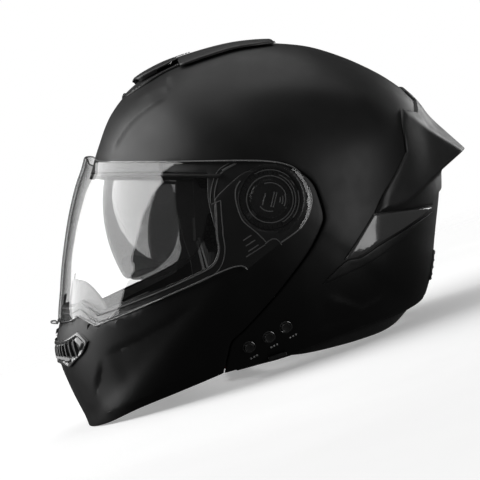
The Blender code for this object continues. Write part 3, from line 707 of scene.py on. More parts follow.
def step_line(sheet, line, height, left, right, taper=14.0):
    """A crease: the surface rises to height at the line and fades off to its left and right."""
    path = sheet.form.disc(smooth_line(line, closed=False))
    nearest = np.full(len(sheet.uv), 1e9)
    signed = np.full(len(sheet.uv), 1e9)
    reach = np.zeros(len(sheet.uv))
    lengths = np.hypot(*(path[1:] - path[:-1]).T)
    total = lengths.sum()
    before = 0.0
    for a, b, length in zip(path, path[1:], lengths):
        along = (b - a) / max(length, 1e-9)
        t = np.clip((sheet.uv - a) @ along, 0, length)
        gap = sheet.uv - a - t[:, None] * along
        distance = np.hypot(gap[:, 0], gap[:, 1])
        closer = distance < nearest
        side = np.where(along[0] * gap[:, 1] - along[1] * gap[:, 0] > 0, 1.0, -1.0)
        nearest = np.where(closer, distance, nearest)
        signed = np.where(closer, side * distance, signed)
        reach = np.where(closer, before + t, reach)
        before += length
    fade = np.where(signed > 0, np.exp(-(nearest / left) ** 2), np.exp(-(nearest / right) ** 2))
    ends = np.clip(np.minimum(reach, total - reach) / taper, 0, 1)
    return height * fade * ends * ends * (3 - 2 * ends)


# ---- the shell and its trims -----------------------------------------------------------------
ARM_LINE = [(-80, 19), (-80, 26.3), (-36, 26.3), (2, 26.3), (13, 24)]
SHELL_OUTLINE = [(-165, 21), (-117, 20)] + ARM_LINE + shift(SPLIT, 0.5) + RIM + OVER_THE_TOP
FOREHEAD = [(-112.6, 33.4), (-99.2, 55.9), (-84.9, 68.4), (-71.6, 77.3)]
FOREHEAD_UP = [(-71.6, 77.3), (-70.5, 85), (-69.3, 96)]
CROWN_SIDE = [(-40, 74), (-5, 80), (25.5, 81.2), (57, 79.5), (72.7, 74.4), (106.2, 66.5)]
REAR_ZIGZAG = [(38.5, -80.8), (46.2, -75.6), (73.1, -84.3), (92.3, -74.7), (100.7, -69.5)]
LOWER_STRIP = [(30, -106), (45, -100), (79.1, -92.1)]
SEAT_OUTLINE = [(-82, 19), (-66, 18.5), (-46.5, 18), (-46, -3), (-40, -28), (-33, -52), (-32, -78),
                (-46, -100), (-50, -118), (-51, -137), (-31, -128), (-26, -117), (-14, -98.5),
                (4, -78), (14.5, -65), (29.5, -45), (36.5, -33.5), (42.5, -20.5), (43.5, -13),
                (40, 0), (35, 11), (27, 19), (15, 27), (2, 29), (-36, 29), (-82, 29)]


SHELL_CREASES = ((FOREHEAD, 1.7, 26, 2.0), (FOREHEAD_UP, 1.4, 20, 2.0), (CROWN_SIDE, 1.3, 16, 16, 40),
                 (REAR_ZIGZAG, 0.7, 2.0, 9), (LOWER_STRIP, 0.8, 3, 7))
SHELL_WALL = 4.0
SEAT_LEVELS = (-4.6, -7.0)
EDGE_ROUND = 1.1              # of the painted parts
BOLT_BORE = 4.4


def make_shell():
    holes = [circle(y, z, BUTTON_HOLE, 20) for y, z in BUTTONS.values()]
    left = Sheet(SHELL, SHELL_OUTLINE, holes=holes, edge=EDGE_ROUND,
                 folds=[FOREHEAD, FOREHEAD_UP, REAR_ZIGZAG])
    relief = creased(left, SHELL_CREASES)
    outside = left.surface(relief - rounded(left.edge_gap, EDGE_ROUND))
    shell = plate("shell", left, outside, left.surface(-SHELL_WALL))
    dress(shell, PAINT, "shell", "outer_shell", slot="matte_shell")
    bore = [circle(*HINGE, BOLT_BORE, 20)]
    seat = hull_plate("chin_arm_seats", SHELL, SEAT_OUTLINE, *SEAT_LEVELS, edge=0.6, holes=bore)
    dress(seat, SATIN, "shell", slot="satin_black")


def make_side_trims():
    trims = (("gloss_panel", GLOSS, 2.0, 0.3, GLOSS_LACQUER_PAINTED_REFLECTION, "gloss_black", 1.2),
             ("side_vent", shift(BAND, 0, -0.6), 1.0, 0.3, GRILLE, "dark_mesh", 0.5))
    for name, outline, outer, inner, material, slot, edge in trims:
        for word, side in (("left", 1), ("right", -1)):
            trim = hull_plate(f"{name}_{word}_skin", SHELL, outline, outer, inner, edge,
                              sides=(side,), step=1.6)
            dress(trim, material, "shell", f"{name}_{word}", slot=slot)


def make_edge_trims():
    rim = [(-22, -127.6), *shift(RIM[1:-1], 0, 1.4), (142, -70.5), (142, -74),
           *shift(RIM[-3:0:-1], 0, -1.0), (-22, -130.2)]
    trim = hull_plate("rim_trim_bead", SHELL, rim, -0.4, -5.4, edge=1.2, step=1.6)
    dress(trim, BLACK_RUBBER, "shell", "rim_trim", slot="black_rubber")
    brow = shift(BROW, 0, -0.4)[1:] + [(-38.5, 14.6), (-66, 15.8), (-117, 17.2), (-140, 18),
                                       (-140, 20.2)]
    seal = hull_plate("brow_seal_bead", SHELL, brow, -0.5, -5.0, edge=1.4, step=1.6)
    dress(seal, BLACK_RUBBER, "shell", "brow_seal", slot="black_rubber")


# ---- chin bar --------------------------------------------------------------------------------
CHIN_OUTLINE = (PORT_BOTTOM[::-1] + PORT_SIDE[::-1] + ARM_TOP + [(11, 20.5), (22.3, 17.6)]
                + shift(SPLIT[1:], -0.5) + CHIN_EDGE[::-1])
REBATE = shift(VISOR_BOTTOM, 0, -1.2)
CHIN_V = [(-124.8, -152), (-119.6, -119.9)]
CHIN_SIDE = [(-119.6, -119.9), (-84, -100), (-45, -72.9)]
CHIN_LIP = [(-120.5, -164.8), (-75, -142), (-31.6, -121.1)]
CHIN_CREASES = ((CHIN_V, -1.3, 1.4, 22), (CHIN_SIDE, -1.0, 1.5, 24), (CHIN_LIP, 0.9, 7, 1.3))
CHIN_WALL = 2.5
PIVOT_WELL = 23.0
REBATE_GAP = 0.5              # between the visor's inside and the rebate that it lies in


def make_chin_bar():
    sheet = Sheet(CHIN, CHIN_OUTLINE, holes=[circle(*HINGE, PIVOT_WELL, 60)], edge=EDGE_ROUND,
                  folds=[REBATE, CHIN_V, CHIN_SIDE, CHIN_LIP])
    outside = sheet.surface(creased(sheet, CHIN_CREASES) - rounded(sheet.edge_gap, EDGE_ROUND))
    under_visor = inside(sheet.uv, CHIN.disc(smooth_line(REBATE + [(-165, -60), (-30, -35)])))
    floor = VISOR.place(sheet.angle, sheet.ratio, -VISOR_WALL - REBATE_GAP)
    floor[sheet.on_midline, 0] = 0.0
    lower = under_visor & (np.linalg.norm(floor, axis=1) < np.linalg.norm(outside, axis=1))
    outside[lower] = floor[lower]
    chin = plate("chin_bar", sheet, outside, sheet.surface(-CHIN_WALL))
    dress(chin, PAINT, "chin_bar", "chin_bar_shell", slot="matte_shell")


# ---- visors ----------------------------------------------------------------------------------
VISOR_OUTLINE = VISOR_TOP + VISOR_REAR + VISOR_BOTTOM
EDGE_BEAD = 0.55
TAB_REACH = 14
TAB_DEPTH = 5.5


def make_visor():
    visor = hull_plate("clear_visor", VISOR, VISOR_OUTLINE, 0.0, -VISOR_WALL, 0.8, step=2.6)
    dress(visor, CLEAR, "visor", "visor_shield", slot="clear_visor")
    edges = []
    for line in (VISOR_BOTTOM, VISOR_TOP[::-1]):
        uv = VISOR.disc(smooth_line(line, closed=False, pieces=16))
        uv = uv[: int(np.argmax(np.hypot(*uv.T) > DISC_RIM - 0.01)) + 1]
        edges.append(swept(across_midline(laid(VISOR, uv, -VISOR_WALL / 2)), EDGE_BEAD, 8))
    rear = swept(on_form(VISOR, VISOR_REAR, -VISOR_WALL / 2), EDGE_BEAD, 8)
    edges += [rear, flip(rear), *visor_tab()]
    dress(piece_of("visor_edge", edges), CLEAR_EDGE, "visor", slot="clear_visor")


def visor_tab():
    """The thumb tab under the middle of the visor: a bowed lip and the root that carries it."""
    across = range(1 - TAB_REACH, TAB_REACH)
    lip = [(x, -149.5 - TAB_DEPTH * (1 - (x / TAB_REACH) ** 2) ** 0.5, -95.5) for x in across]
    root = [(x, -148.5, -94.5) for x in across]
    return [swept(lip, 1.3, 10, upward=(0, 0, 1)), swept(root, 1.6, 10, upward=(0, 0, 1))]


# ---- turned, swept and flat shapes -------------------------------------------------------------
def lathe(profile, origin, axis, count=72):
    """A closed profile of (radius, height) points, turned about an axis: points and faces."""
    axis = Vector(axis).normalized()
    across = axis.orthogonal().normalized()
    other = axis.cross(across)
    origin = Vector(origin)
    points = []
    for i in range(count):
        turn = 2 * pi * i / count
        out = across * cos(turn) + other * sin(turn)
        points += [origin + out * r + axis * h for r, h in profile]
    size = len(profile)
    faces = []
    for i in range(count):
        for j in range(size):
            k = (j + 1) % size
            ring, following = i * size, (i + 1) % count * size
            faces.append((ring + j, following + j, following + k, ring + k))
    return np.array([tuple(p) for p in points]), faces


def swept(path, radius, sides=8, flatten=1.0, upward=None):
    """A round bead along a path, its ends closed: points and faces."""
    path = np.array(path, float)
    count = len(path)
    forward = np.gradient(path, axis=0)
    forward /= np.linalg.norm(forward, axis=1)[:, None]
    up = Vector(upward) if upward is not None else Vector(forward[0]).orthogonal()
    points = []
    for place, along in zip(path, forward):
        along = Vector(along)
        up = (up - along * up.dot(along)).normalized()
        side = along.cross(up)
        for i in range(sides):
            turn = 2 * pi * i / sides
            offset = side * (cos(turn) * radius) + up * (sin(turn) * radius * flatten)
            points.append(Vector(place) + offset)
    faces = [(i * sides + j, i * sides + (j + 1) % sides,
              (i + 1) * sides + (j + 1) % sides, (i + 1) * sides + j)
             for i in range(count - 1) for j in range(sides)]
    faces.append(tuple(reversed(range(sides))))
    faces.append(tuple((count - 1) * sides + j for j in range(sides)))
    return np.array([tuple(p) for p in points]), faces


def piece_of(name, parts, sharp=38):
    """One piece from several sets of points and faces, each closed, its faces turned outward."""
    points, faces = [], []
    for part_points, part_faces in parts:
        base = sum(len(p) for p in points)
        points.append(part_points)
        faces += [tuple(base + i for i in face) for face in part_faces]
    piece = new_piece(name, to_row(np.concatenate(points)), faces, sharp)
    form = bmesh.new()
    form.from_mesh(piece.data)
    bmesh.ops.remove_doubles(form, verts=form.verts, dist=1e-6)
    bmesh.ops.recalc_face_normals(form, faces=form.faces)
    form.to_mesh(piece.data)
    form.free()
    piece.data.set_sharp_from_angle(angle=radians(sharp))
    return piece


def flip(part):
    """The same shape on the far side."""
    points, faces = part
    return points * (-1, 1, 1), faces


def on_form(form, line, level, spacing=1.5):
    """A smooth side-view line laid on a form, as points in space."""
    return laid(form, form.disc(smooth_line(line, closed=False, pieces=16)), level, spacing)


def laid(form, disc_line, level, spacing=1.5):
    uv = resampled(disc_line, spacing)
    radius = np.hypot(uv[:, 0], uv[:, 1])
    ratio = np.sin(np.minimum(radius / DISC, pi / 2))
    ratio[radius > DISC_RIM - 0.01] = 1.0
    points = form.place(np.arctan2(uv[:, 1], uv[:, 0]), ratio, level)
    points[ratio == 1.0, 0] = 0.0
    return points


def resampled(line, spacing):
    """The same line with evenly spaced points."""
    steps = np.hypot(*(line[1:] - line[:-1]).T)
    length = np.concatenate(([0], np.cumsum(steps)))
    at = np.linspace(0, length[-1], max(int(length[-1] / spacing), 3))
    return np.stack([np.interp(at, length, line[:, k]) for k in (0, 1)], 1)


def across_midline(path):
    """A path that ends at the midline, carried on to the far side."""
    path = path[: int(np.argmin(path[:, 0])) + 1]
    return np.concatenate((path, path[-2::-1] * (-1, 1, 1)))


def skin_height(form, x, y, level=0.0):
    """The z of the form's upper surface above a point of the plan."""
    low, high = 0.0, 140.0
    for _ in range(40):
        z = (low + high) / 2
        angle = atan2(z, y)
        ratio = hypot(y, z) / (float(radius_at(form.table, angle)) + level)
        outside = ratio >= 1 or form.place(np.array([angle]), np.array([ratio]), level)[0, 0] < x
        low, high = (low, z) if outside else (z, high)
    return low


def on_plan(points):
    """Plan points (x, y) as the side view's (y, z) on the shell's top."""
    return [(y, skin_height(SHELL, x, y) + (30 if x == 0 else 0)) for x, y in points]


def skin(form, y, z, level=0.0):
    """A point on the form's left side and the direction that it faces."""
    def at(y, z):
        angle = atan2(z, y)
        ratio = hypot(y, z) / (float(radius_at(form.table, angle)) + level)
        return Vector(form.place(np.array([angle]), np.array([ratio]), level)[0])
    across, up = at(y + 1, z) - at(y - 1, z), at(y, z + 1) - at(y, z - 1)
    return at(y, z), across.cross(up).normalized()


# ---- top vent ----------------------------------------------------------------------------------
VENT_PLAN = [(0, -99), (20, -98), (35, -85), (36, -70), (37, -56), (36, -43), (31, -19), (27, 5),
             (15, 19), (0, 20)]
FAIRING_PLAN = [(0, -60), (29, -60), (33.5, -55), (32, -43), (27, -19), (22, 4), (12, 15), (0, 16)]
SCOOP_PLAN = [(0, -87.5), (17, -87.5), (22, -85), (26.5, -78), (28, -62), (26.5, -57.5), (0, -56)]
CORE_PLAN = [(0, -58), (25, -57), (28, -50), (22, -19), (17, 2), (0, 10)]
SCOOP_OVERLAP = -74.0         # behind this the scoop slides over the fairing
SCOOP_ROOF, SCOOP_ARCH = 4.6, 0.9
SCOOP_CEILING, SCOOP_FLOOR = 4.0, 1.7
SCOOP_LEAST = 0.3             # the thinnest that the scoop gets
SCOOP_MOUTH = [(0, -96), (17, -95), (17.5, -84), (15, -80), (0, -79)]


def make_top_vent():
    foot = Sheet(SHELL, on_plan(VENT_PLAN), edge=0.6, step=1.3)
    rail = 0.8 + 1.3 * np.exp(-((foot.edge_gap - 1.3) / 0.8) ** 2)
    foot_piece = plate("vent_foot", foot, foot.surface(rail - rounded(foot.edge_gap, 0.6)),
                       foot.surface(0.25))
    dress(foot_piece, SATIN, "shell", "top_vent_base", slot="satin_black")
    fairing = hull_plate("vent_fairing", SHELL, on_plan(FAIRING_PLAN), 3.6, 1.9, 1.5, step=1.6)
    dress(fairing, SATIN, "shell", slot="satin_black")
    core = hull_plate("vent_fairing_core", SHELL, on_plan(CORE_PLAN), 2.2, 0.5, 0.4)
    dress(core, GRILLE, "shell", slot="dark_mesh")
    sheet = Sheet(SHELL, on_plan(SCOOP_PLAN), edge=1.6, step=1.3)
    y = sheet.side_view()[:, 0]
    arch = SCOOP_ROOF + SCOOP_ARCH * np.clip((y + 60) / -22, 0, 1)
    mouth = inside(sheet.uv, SHELL.disc(smooth_line(on_plan(SCOOP_MOUTH))))
    under = np.where(mouth | (y > SCOOP_OVERLAP), SCOOP_CEILING, SCOOP_FLOOR)
    top = np.maximum(arch - rounded(sheet.edge_gap, 1.6), under + SCOOP_LEAST)
    scoop = plate("vent_scoop_skin", sheet, sheet.surface(top), sheet.surface(under))
    dress(scoop, SATIN, "vent_scoop", "top_vent_scoop", slot="satin_black")


# ---- spoiler -----------------------------------------------------------------------------------
SPOILER_OUTLINE = [(107, 68.5), (106, 56), (107.5, 35), (98, 19), (87, 3), (80, -11.5),
                   (134, -4.8), (140, 4), (150, 10), (165, 19), (165, 112), (124, 94),
                   (117.7, 84.1), (125, 78), (121.6, 67)]
SPOILER_SKIN = 1.8            # how far the spoiler's thin part stands off the shell
BLEND = 1.6                   # how softly the wedge runs into the shell
CRISP = 0.9                   # how rounded its own edges are
ROOF_FRONT = (0, 123, 86)
ROOF_TIP = (0, 170.5, 39.5)
TIP_SIDE = (42, 163, 38)
TAIL_FOOT = (50, 138, 18)
TAIL_REACH = 150.0            # about how far the wedge is from the middle
FAR_OFF = 400.0               # where a ray meets a face that it runs along or away from
LEAST_FACING = 0.05


def face_plane(first, second, third):
    """The plane through three points, facing away from the helmet's middle."""
    first, second, third = (np.array(point, float) for point in (first, second, third))
    normal = np.cross(second - first, third - first)
    normal /= np.linalg.norm(normal)
    if normal @ first < 0:
        normal = -normal
    return normal, normal @ first


def tail_planes():
    """The wedge's faces: roof, shoulder, side and back."""
    seam_top = skin(SHELL, 107.5, 66, SPOILER_SKIN)[0]
    seam_low = skin(SHELL, 88, 4, SPOILER_SKIN)[0]
    roof_side = (TIP_SIDE[0], *ROOF_TIP[1:])
    return [face_plane(ROOF_FRONT, ROOF_TIP, roof_side),
            face_plane(ROOF_FRONT, seam_top, TIP_SIDE),
            face_plane(seam_low, seam_top, TIP_SIDE),
            face_plane(ROOF_TIP, TIP_SIDE, TAIL_FOOT)]


def make_spoiler():
    """A wedge whose faces meet in crisp edges, standing off a skin on the shell."""
    sheet = Sheet(SHELL, SPOILER_OUTLINE, edge=1.3, step=1.5)
    skin_points = sheet.surface(SPOILER_SKIN - rounded(sheet.edge_gap, 1.3))
    reach = np.linalg.norm(skin_points, axis=1)
    ray = skin_points / reach[:, None]
    soft = np.zeros(len(ray))
    for normal, distance in tail_planes():
        facing = ray @ normal
        hit = np.where(facing > LEAST_FACING, distance / np.maximum(facing, LEAST_FACING), FAR_OFF)
        soft += np.exp(-(hit - TAIL_REACH) / CRISP)
    tail = TAIL_REACH - CRISP * np.log(soft)
    lift = BLEND * np.logaddexp(0, (tail - reach) / BLEND) * np.clip(sheet.edge_gap / 4, 0, 1)
    outside = skin_points + ray * lift[:, None]
    spoiler = plate("spoiler", sheet, outside, sheet.surface(0.3))
    dress(spoiler, SATIN, "shell", "rear_spoiler", slot="satin_black")


EXHAUST = [(140, -39), (165, -39), (165, -63), (136.5, -62.5), (138.5, -50)]


def make_exhaust():
    """A low louvred cover on the back of the shell."""
    sheet = Sheet(SHELL, EXHAUST, edge=1.2, step=1.0)
    louvres = 0.5 + 0.5 * np.cos(sheet.side_view()[:, 1] * 2 * pi / 5.5)
    louvres *= np.clip((sheet.edge_gap - 2) / 1.5, 0, 1)
    outside = sheet.surface(1.5 - 1.0 * louvres - rounded(sheet.edge_gap, 1.2))
    cover = plate("exhaust_cover", sheet, outside, sheet.surface(0.3))
    dress(cover, SATIN, "shell", "rear_exhaust", slot="satin_black")


# ---- chin vent ---------------------------------------------------------------------------------
VENT_SHIELD = [(-165, -110), (-150, -109), (-138, -100.5), (-131, -108), (-134, -117),
               (-138.6, -123), (-142, -128.6), (-152, -125), (-165, -124)]
VENT_OPENING = [(-165, -113.5), (-149.5, -113), (-140.5, -107), (-136, -110.5), (-138, -117),
                (-142.5, -122.5), (-152, -121.3), (-165, -121)]
SLAT_PLACES = (4, 11, 18, 25, 32, 39, 46)
SLAT_TOP, SLAT_BOTTOM = -105.5, -123.5
SLAT_THICK = 2.2
SLAT_LEAN = 0.06              # sideways, from top to bottom, per millimetre off the midline
SLAT_STEPS = 14


def make_chin_vent():
    sheet = Sheet(CHIN, VENT_SHIELD, edge=0.8, step=1.1)
    opening = inside(sheet.uv, CHIN.disc(smooth_line(VENT_OPENING)))
    gap = sheet.edge_gap
    rim = 2.3 - rounded(gap, 0.8) - 1.5 * np.exp(-((gap - 2.4) / 0.6) ** 2)
    rim = np.where(opening, -1.4, rim)
    shield = plate("chin_vent_shield", sheet, sheet.surface(rim), sheet.surface(-2.4))
    dress(shield, SHIELD_GREY, "chin_bar", "chin_vent_frame", slot="gloss_black")
    slats = [slat(x * side) for x in SLAT_PLACES for side in (1, -1)]
    grille = piece_of("chin_vent_slats", slats)
    dress(grille, SATIN, "chin_bar", "chin_vent_grille", slot="satin_black")


def front_of(form, x, z):
    """The y of the form's front surface at a place in front view."""
    low, high = -170.0, 0.0
    for _ in range(30):
        y = (low + high) / 2
        angle = atan2(z, y)
        ratio = hypot(y, z) / (float(radius_at(form.table, angle)) + form.lift)
        outside = ratio >= 1 or form.place(np.array([angle]), np.array([ratio]), 0.0)[0, 0] < x
        low, high = (y, high) if outside else (low, y)
    return high


def slat(x):
    """An upright fin of the chin vent: it follows the chin bar's curve at one x."""
    top = SLAT_TOP - 3.5 * max(1 - abs(x) / 40, 0)
    bottom = SLAT_BOTTOM + 0.04 * abs(x)
    heights = np.linspace(top - 1.5, bottom + 1.5, SLAT_STEPS)
    path = np.array([(x, front_of(CHIN, abs(x), z), z) for z in heights])
    path[:, 1] += 0.2
    path[:, 0] += x * np.linspace(0, SLAT_LEAN, SLAT_STEPS)
    return swept(path, SLAT_THICK / 2, sides=8, flatten=1.5, upward=(0, -1, 0))


# ---- pivot -------------------------------------------------------------------------------------
CUP_PROFILE = [(23.4, 129.9), (23.0, 129.6), (22.9, 127.0), (4.4, 127.0), (4.4, 125.4),
               (26, 125.4), (26, 129.6), (25.6, 129.9)]
TEETH = 36
TOOTH = (1.0, 2.4, 1.3)
TOOTH_RADIUS = 20.4
TOOTH_LEVEL = 129.0
HUB_RADIUS = 15.0
HUB_LEVELS = (128.9, 129.9)
TAB_PLACE = (128.6, -15.0, -12.5)
TAB_SIZE = (1.2, 9, 4.2)


def turned(profile, side):
    """A shape turned about the hinge axis, its heights measured outward on one side."""
    return lathe(profile, (0, *HINGE), (side, 0, 0))


def ring(radius, width, low, high):
    """A profile of a flat ring with rounded upper edges."""
    inner, outer = radius - width / 2, radius + width / 2
    soft = min(width, high - low) * 0.3
    return [(inner, low), (inner, high - soft), (inner + soft, high), (outer - soft, high),
            (outer, high - soft), (outer, low)]


def disc_profile(radius, low, high, soft):
    return [(0, low), (0, high), (radius - soft, high), (radius, high - soft), (radius, low)]


def gear_teeth(side):
    teeth = []
    for i in range(TEETH):
        turn = 2 * pi * i / TEETH
        y, z = HINGE[0] + TOOTH_RADIUS * cos(turn), HINGE[1] + TOOTH_RADIUS * sin(turn)
        teeth.append(block((TOOTH_LEVEL * side, y, z), TOOTH, turn))
    return teeth


def block(middle, size, turn=0.0):
    """A small box turned about X: points and faces."""
    x, y, z = (s / 2 for s in size)
    c, s = cos(turn), sin(turn)
    points = []
    for i in (-x, x):
        for j, k in ((-y, -z), (y, -z), (y, z), (-y, z)):
            points.append((middle[0] + i, middle[1] + j * c - k * s, middle[2] + j * s + k * c))
    faces = [(0, 1, 2, 3), (7, 6, 5, 4), (0, 4, 5, 1), (1, 5, 6, 2), (2, 6, 7, 3), (3, 7, 4, 0)]
    return np.array(points), faces


def make_pivots():
    for word, side in (("left", 1), ("right", -1)):
        cup = piece_of(f"pivot_cup_{word}", [turned(CUP_PROFILE, side)])
        dress(cup, PIVOT, "chin_bar", slot="inner_plastic")
        gear = [turned(ring(14.4, 16, 127.3, 128.4), side), *gear_teeth(side)]
        dress(piece_of(f"visor_gear_ring_{word}", gear), PIVOT, "chin_bar", f"visor_gear_{word}",
              slot="inner_plastic")
        hub = [turned(disc_profile(HUB_RADIUS, *HUB_LEVELS, 0.5), side),
               turned(ring(13.8, 0.5, 129.5, 130.3), side)]
        dress(piece_of(f"visor_hub_face_{word}", hub), PIVOT, "visor", f"visor_hub_{word}",
              slot="inner_plastic")
        x, y, z = TAB_PLACE
        tab = piece_of(f"quick_release_tab_{word}", [block((x * side, y, z), TAB_SIZE, radians(30))])
        dress(bevelled(tab, 0.5), BUTTON, f"quick_release_{word}", f"quick_release_{word}",
              slot="button_plastic")


def bevelled(piece, width, segments=3):
    modifier = piece.modifiers.new("edges", "BEVEL")
    modifier.width = width * MM
    modifier.segments = segments
    modifier.limit_method = "ANGLE"
    modifier.angle_limit = radians(35)
    modifier.harden_normals = False
    return piece


BASE_EDGE = [(-24, 12), (-27.3, 6), (-27.4, -2), (-25.2, -10.9), (-21.6, -18.2), (-12.7, -25.6),
             (-4.5, -33.5)]
ARM_RIDGES = (BASE_EDGE, [(-19.5, -44), (-5.5, -35)],
              [(-5.5, -34.5), (-1, -30.5), (4, -31), (7, -35)],
              [(-22, -32), (-16, -28)], [(-20, -36), (-13, -31.5)], [(-18, -40), (-10.5, -35)])
RING_ARCS = ((17.3, 0, 360), (19.3, -60, 70), (21.8, 48, 122), (21.8, -38, 18), (21.0, 30, 42))
HUB_ARCS = ((12.2, 15, 110), (9.0, 215, 285), (11.6, -25, 20), (9.6, -20, 16), (7.6, -16, 12))
HUB_BARS = (((3.4, 5.6), (0.6, -5.6)), ((5.2, 5.0), (2.4, -6.0)), ((-3.4, 4.6), (-5.6, -4.4)))
RIDGE_THICK = 0.42
RING_LEVEL = 129.2
MARK_LEVEL = 130.0


def arc_bead(level, radius, start, end):
    """A thin raised arc round the hinge, in a flat plane."""
    turns = np.radians(np.linspace(start, end, max(int(abs(end - start) / 4), 8)))
    path = [(level, HINGE[0] + radius * cos(a), HINGE[1] + radius * sin(a)) for a in turns]
    return swept(path, RIDGE_THICK, 6, upward=(1, 0, 0))


def straight_bead(level, start, end):
    share = np.linspace(0, 1, 5)[:, None]
    flat = np.array(start) * (1 - share) + np.array(end) * share + HINGE
    return swept([(level, y, z) for y, z in flat], RIDGE_THICK, 6, upward=(1, 0, 0))


def make_arm_ribs():
    """Thin moulded ridges on each arm, round the pivot and on the hub, coloured light grey as painted
    highlights.
    """
    ridges = [swept(on_form(CHIN, line, 0.1), 0.45, 6) for line in ARM_RIDGES]
    ridges += [arc_bead(RING_LEVEL, *arc) for arc in RING_ARCS]
    ridges += [flip(ridge) for ridge in ridges]
    dress(piece_of("arm_ridges", ridges), RIDGE_PAINTED_HIGHLIGHT, "chin_bar", slot="inner_plastic")
    marks = [arc_bead(MARK_LEVEL, *arc) for arc in HUB_ARCS]
    marks += [straight_bead(MARK_LEVEL, start, end) for start, end in HUB_BARS]
    marks += [flip(mark) for mark in marks]
    dress(piece_of("hub_ridges", marks), RIDGE_PAINTED_HIGHLIGHT, "visor", slot="inner_plastic")


# ---- seals of the eye port ---------------------------------------------------------------------
PORT_LINE = [(-41.6, -4), (-41.5, -6), (-40.5, -28), (-39.2, -39.5), (-42, -48.4), (-50, -54.8),
             (-81, -69.6), (-112.5, -83.2), (-124.5, -88.3), (-131, -82.9), (-136, -79.4),
             (-141.5, -83.3), (-150, -84.8), (-165, -85)]
PORT_CORNER = [(-42.6, -3), (-42.8, 2), (-41.4, 11), (-37.6, 18.9), (-26.4, 26.3)]
CORNER_STOP = [(-37, 20.5), (-27, 26)]
SEAL_STRIP = [(-45, -57.5), (-51, -61.5), (-81, -75.5), (-112, -89), (-150, -89.5), (-150, -84.5),
              (-141, -82.5), (-136, -78.5), (-131, -82), (-124.5, -87.5), (-112.5, -82.5),
              (-81, -69), (-50.5, -54.5), (-44.5, -49)]
BREATH_WAVE = [(-150, -62.8), (-139, -63), (-133, -64), (-127, -69.5), (-121, -78), (-117, -87),
               (-150, -90)]


def bead_pair(form, line, level, spread=3.0, radius=0.5):
    """Two thin beads side by side along a line; the first may run on across the midline."""
    uv = form.disc(smooth_line(line, closed=False, pieces=16))
    beyond = np.hypot(*uv.T) > DISC_RIM - 0.01
    if beyond.any():
        uv = uv[: int(np.argmax(beyond)) + 1]
    uv = resampled(uv, 1.5)
    along = np.gradient(uv, axis=0)
    along /= np.hypot(*along.T)[:, None]
    aside = uv + np.stack((-along[:, 1], along[:, 0]), 1) * spread
    aside = aside[np.hypot(*aside.T) < DISC_RIM]
    first = laid(form, uv, level)
    second = swept(laid(form, aside, level), radius * 0.85, 8)
    if beyond.any():
        return [swept(across_midline(first), radius, 8), second, flip(second)]
    first = swept(first, radius, 8)
    return [first, flip(first), second, flip(second)]


def make_port_seals():
    gasket = piece_of("port_gasket", bead_pair(CHIN, PORT_LINE, 0.05))
    dress(gasket, GREY_RUBBER, "chin_bar", slot="grey_rubber")
    corner = piece_of("port_corner_gasket", bead_pair(SHELL, PORT_CORNER, -4.4))
    dress(corner, GREY_RUBBER, "shell", slot="grey_rubber")
    # The corner stop's light grey is a painted highlight on the port's upper corner.
    stop = swept(on_form(SHELL, CORNER_STOP, -4.0), 0.9, 8)
    dress(piece_of("port_corner_stop", [stop, flip(stop)]), RIDGE_PAINTED_HIGHLIGHT, "shell", slot="inner_plastic")
    strip = hull_plate("port_seal_strip", CHIN, SEAL_STRIP, -3.3, -5.3, 0.8, step=1.8)
    dress(strip, GREY_RUBBER, "chin_bar", "port_seal", slot="grey_rubber")
    deflector = hull_plate("breath_guard", CHIN, BREATH_WAVE, -6.2, -8.2, 0.8, step=1.8)
    dress(deflector, GREY_RUBBER, "chin_bar", "breath_deflector", slot="grey_rubber")


# ---- sun visor ---------------------------------------------------------------------------------
SUN_RADIUS = 112.0
SUN_HALF_WIDTH = 104.0
SUN_WALL = 2.0


class SunForm(Form):
    """The sun visor's surface, swept round the hinge axis."""

    def __init__(self):
        super().__init__(None, None)

    def place(self, angle, ratio, grow):
        radius = (SUN_RADIUS + grow) * ratio
        x = (SUN_HALF_WIDTH + grow) * np.maximum(1 - ratio**2, 0) ** 0.435
        return np.stack((x, radius * np.cos(angle) + HINGE[0],
                         radius * np.sin(angle) + HINGE[1]), 1)

    def disc(self, points, grow=0.0):
        y, z = (np.asarray(points, float) - HINGE).T
        angle = np.arctan2(z, y)
        ratio = np.hypot(y, z) / (SUN_RADIUS + grow)
        q = np.arcsin(np.minimum(ratio, 1.0)) * DISC
        return np.stack((q * np.cos(angle), q * np.sin(angle)), 1)


LENS = [(-130, 60), (-100, 62), (-60, 24), (-50, 8), (-17, 2), (-17, -4), (-44, -12),
        (-50, -38), (-62, -52), (-78, -60), (-93, -62), (-102, -57), (-106, -48), (-130, -40)]


SLIDER_PLACE = (99.5, 8, -118.5)
SLIDER_SIZE = (6, 14, 3)
SLIDER_LEAN = radians(18)


def make_sun_visor():
    sheet = Sheet(SunForm(), LENS, edge=0.9, step=2.2)
    outside = sheet.surface(SUN_WALL / 2 - rounded(sheet.edge_gap, 0.9))
    lens = plate("sun_visor_lens", sheet, outside, sheet.surface(-SUN_WALL / 2))
    dress(lens, SMOKE, "sun_visor", "sun_visor", slot="tinted_visor")
    x, y, z = SLIDER_PLACE
    ribs = [block((x, y + d * cos(SLIDER_LEAN), z - 1.4 + d * sin(SLIDER_LEAN)), (5, 0.8, 0.9),
                  SLIDER_LEAN) for d in (-4.5, -1.5, 1.5, 4.5)]
    grip = block(SLIDER_PLACE, SLIDER_SIZE, SLIDER_LEAN)
    lever = bevelled(piece_of("sun_visor_slider", [grip, *ribs]), 0.7)
    dress(lever, SATIN, "sun_lever", "sun_visor_lever", slot="satin_black")


